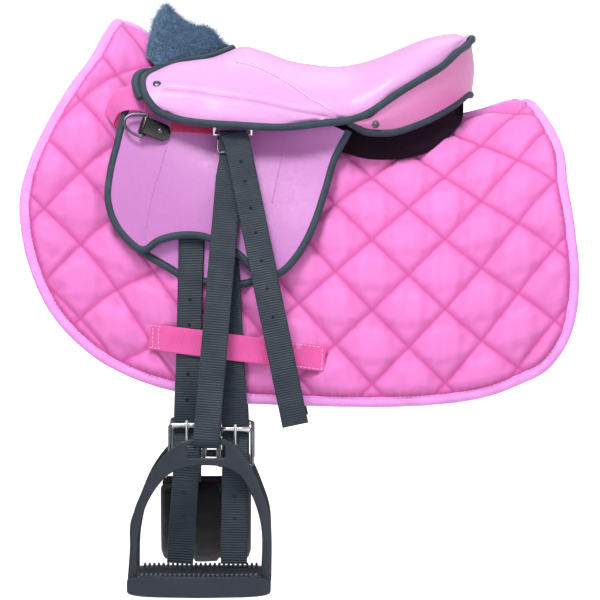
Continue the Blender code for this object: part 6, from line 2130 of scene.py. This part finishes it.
def make_stud(name, node, centre, a, b, lift):
    """A flat-headed stud square to two directions in the piece that it is set in."""
    square = np.cross(a, b)
    square /= np.linalg.norm(square)
    if square[1] > 0:
        square = -square
    base = np.array(centre) + square * (lift - 0.0002)
    step = square * STUD_HEIGHT * 0.62
    low = disc("low", base, square, STUD_RADIUS, STUD_HEIGHT * 0.62, "dark_steel")
    cap = disc("cap", base + step, square, STUD_RADIUS * 0.5, STUD_HEIGHT * 0.5, "dark_steel", dome=0.5)
    pair(rounded(joined(name, [low, cap]), 35), "saddle", node)


def make_studs():
    share, across = STUD_FRONT_SHARES
    place = seat_point(share, across)
    step = GAP / SEAT_LENGTH
    along = seat_point(share + step, across) - place
    down = seat_point(share, across + step) - place
    make_stud("front_button_left", "stud_front_left", place, along, down, 0)
    upper, lower = facing_lines()
    above = (upper[0] + upper[1]) / 2
    below = (lower[0] + lower[1]) / 2
    place = below + (above - below) * STUD_REAR_HEIGHT_SHARE
    lift = FACING_THICKNESS / 2 + 0.0011
    make_stud("rear_button_left", "stud_rear_left", place, upper[3] - upper[0], lower[1] - upper[1], lift)


def make_dees():
    place, tab, bar, out = dee_frame()

    def at(along, across, off):
        return place + tab * along + bar * across + out * off

    turn = DEE_WIRE_RADIUS + GAP + DEE_TAB_THICKNESS / 2
    route = [at(turn * 1.2, 0, -turn)]
    for angle in np.radians(np.linspace(-90, -270, 11)):
        route.append(at(turn * math.cos(angle), 0, turn * math.sin(angle)))
    fall = DEE_LIFT + turn - DEE_TAB_END_LIFT
    route += [at(DEE_TAB_LENGTH * k, 0, turn - fall * k) for k in (0.35, 0.7, 1.0)]
    points = eased(resampled(route, 0.0007), 2)
    reach = travelled(points)
    left_over = reach[-1] - reach
    nose = DEE_TAB_WIDTH / 2 * 0.8
    round_nose = np.sqrt(np.clip(1 - ((nose - left_over) / nose) ** 2, 0.02, 1))
    widths = np.where(left_over < nose, round_nose, 1.0)
    profile = np.array(strap_profile(DEE_TAB_WIDTH, DEE_TAB_THICKNESS, 0.0003))
    along = unit(np.gradient(points, axis=0))
    across = unit(bar - np.sum(along * bar, axis=1)[:, None] * along)
    square = np.cross(along, across)
    rows = points[:, None] + profile[None, :, :1] * across[:, None] * widths[:, None, None]
    rows = rows + profile[None, :, 1:] * square[:, None]
    tab_piece = rounded(grid_mesh("ring_tab_left", rows, "black_leather", closed=True, caps=True), 45)
    rivet_place = at(DEE_TAB_LENGTH * 0.62, 0, turn - fall * 0.62 + DEE_TAB_THICKNESS / 2 - 0.0002)
    rivet = disc("tab_rivet_left", rivet_place, out, RIVET_RADIUS, RIVET_HEIGHT, "dark_steel", sides=20)
    pair(rivet, "saddle")
    pair(tab_piece, "saddle", "dee_tab_left")
    ring = [at(0, DEE_HALF_LENGTH * k, 0) for k in (-0.5, 0, 0.5)]
    for angle in np.radians(np.linspace(90, 270, 19)):
        ring.append(at(DEE_REACH * math.cos(angle), DEE_HALF_LENGTH * math.sin(angle), 0))
    wire = tube("steel_dee_left", ring, DEE_WIRE_RADIUS, "dark_steel", closed=True, spacing=0.0011, ease=2)
    pair(wire, "dee_left", "dee_ring_left")


FRONT_STRAP_TOP = [
    (104, 113, 0.0125), (109, 99, 0.0220), (117, 90, 0.0300), (129, 86, 0.0335), (141, 88, 0.0305),
    (153, 93, 0.0262),
]
FRONT_STRAP_LOW = [
    (113, 125, 0.0135), (116, 117, 0.0200), (121, 112, 0.0285), (131, 110, 0.0318), (142, 112, 0.0292),
    (153, 116, 0.0262),
]
FRONT_STRAP_UNDER = [(113, 128, 0.0128), (119, 126, 0.0150), (124, 120, 0.0200)]


def ruled_band(name, top, low, thickness, material, count=40):
    """A strap between two edges given as pixels with lifts."""
    edges = []
    for edge in (top, low):
        places = [(*at_pixel(u, v), lift) for u, v, lift in edge]
        edges.append(through(places, count))
    shares = np.linspace(0, 1, 14)
    ring = [(t, 1) for t in shares] + [(t, -1) for t in shares[::-1]]
    rows = []
    uv = []
    for k in range(count):
        row = []
        for share, face in ring:
            x, z, lift = edges[0][k] * (1 - share) + edges[1][k] * share
            round_edge = (1 - abs(share * 2 - 1) ** 8) * 0.5 + 0.5
            row.append(near(x, z, lift + face * thickness / 2 * round_edge, hang_side))
        rows.append(row)
        uv.append([(share * FRONT_STRAP_WIDTH, k / count * FRONT_STRAP_WIDTH * 2.4) for share, _ in ring])
    return rounded(faced_out(grid_mesh(name, rows, material, uv, closed=True, caps=True)), 50)


def make_front_straps():
    thickness = FRONT_STRAP_THICKNESS
    # The front strap wears the lighter copy of the pink web, a painted highlight
    left = ruled_band("front_strap_left", FRONT_STRAP_TOP, FRONT_STRAP_LOW, thickness, "fresh_pink_web")
    pair(left, "saddle", "pad_front_strap_left")
    # The strip below the front strap's lower edge, in the crimson copy of the pink web: painted shade
    top = [(u, v, lift - 0.0012) for u, v, lift in FRONT_STRAP_LOW[:3]]
    name = "front_strap_lining_left"
    pair(ruled_band(name, top, FRONT_STRAP_UNDER, thickness / 2, "crimson_web", count=14), "saddle")

    # The strip that shows between the skirt and the flap: the pink strap, coloured crimson as the skirt's
    # painted shadow
    steps = [at_pixel(171 + 45 * k, 127 + 3 * k) for k in np.linspace(0, 1, 12)]
    path, out = on_flap(steps, FLAP_LIFT + FLAP_THICKNESS / 2 + 0.0008)
    side = np.cross(out, np.gradient(path, axis=0))
    strip = strap("under_skirt_strips_left", path, side, 0.010, 0.0016, "crimson_web")
    pair(strip, "saddle")


# Nodes that keep their solid shape


def finish_frame():
    finishes = {
        "saddle_tree": "black_composite", "stirrup_bar_left": "bright_steel",
        "stirrup_bar_right": "bright_steel", "leather_tongue_left": "bright_steel",
        "leather_tongue_right": "bright_steel",
    }
    for name, finish in finishes.items():
        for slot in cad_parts[name].material_slots:
            slot.material = MATERIALS[finish]


# Stage

CAMERA_AIM = (-0.0095, -0.15, -0.171)
CAMERA_DISTANCE = 20
CAMERA_ELEVATION = 0.8
FRAME_WIDTH = 0.570
FLOOR_LEVEL = -0.62
FLOOR_REACH = 900
LIGHT_AIM = (-0.01, 0, -0.15)
# Name, place, power and size
LIGHTS = [
    ("key", (-0.7, -1.4, 2.5), 74, 1.0),
    ("fill", (1.4, -2.6, 0.5), 12, 1.6),
    ("rim", (0.4, 2.0, 2.0), 14, 1.5),
]


def make_world():
    """Pale all round, and a softer grey overhead so that the light keeps its shape."""
    world = bpy.data.worlds.new("studio")
    bpy.context.scene.world = world
    world.use_nodes = True
    tree = world.node_tree
    turn = shader_node(tree, "TexCoord", {}, "Generated")
    level = shader_node(tree, "SeparateXYZ", {0: turn}, 2)
    pale = level.ranged(0.06, 0.20, 1.0, 0.42)
    tree.links.new(pale.socket, tree.nodes["Background"].inputs["Color"])


def make_floor():
    """A plain pale floor that glows to white towards the horizon."""
    mesh = bpy.data.meshes.new("floor")
    mesh.from_pydata([(-1, -1, 0), (1, -1, 0), (1, 1, 0), (-1, 1, 0)], [], [(0, 1, 2, 3)])
    mesh.transform(Matrix.Diagonal((FLOOR_REACH, FLOOR_REACH, 1, 1)))
    floor = stand("floor", mesh)
    floor.location.z = FLOOR_LEVEL
    pale = Finish("floor", (0.82, 0.82, 0.83), 0.9)
    away = shader_node(pale.tree, "VectorMath", {0: pale.places}, "Value", operation="LENGTH")
    pale.drive("Emission Color", away.ranged(2.5, 6.0, 0, 1))
    pale.shader.inputs["Emission Strength"].default_value = 1.0
    mesh.materials.append(pale.material)


def aimed(obj, place, aim):
    obj.location = place
    obj.rotation_mode = "QUATERNION"
    obj.rotation_quaternion = (Vector(aim) - Vector(place)).to_track_quat("-Z", "Y")


def make_stage():
    scene = bpy.context.scene
    scene.view_settings.view_transform = "Standard"
    make_world()
    make_floor()
    for name, place, energy, size in LIGHTS:
        data = bpy.data.lights.new(name, "AREA")
        data.energy = energy
        data.size = size
        aimed(stand(name, data), place, LIGHT_AIM)
    data = bpy.data.cameras.new("camera")
    camera = stand("camera", data)
    scene.camera = camera
    rise = math.radians(CAMERA_ELEVATION)
    back = Vector((0, -math.cos(rise), math.sin(rise))) * CAMERA_DISTANCE
    aimed(camera, Vector(CAMERA_AIM) + back, CAMERA_AIM)
    data.sensor_width = 36
    data.lens = 18 / (FRAME_WIDTH / 2 / CAMERA_DISTANCE)
    data.clip_start = 0.1
    data.clip_end = 400


make_stage()
make_quilt()
make_binding()
make_spine_tape()
make_keeper()
make_seat()
make_facing()
make_panels()
make_fleece()
make_flaps()
make_leather()
make_iron()
make_billets()
make_girth_buckles()
make_girth()
make_studs()
make_dees()
make_front_straps()
finish_frame()
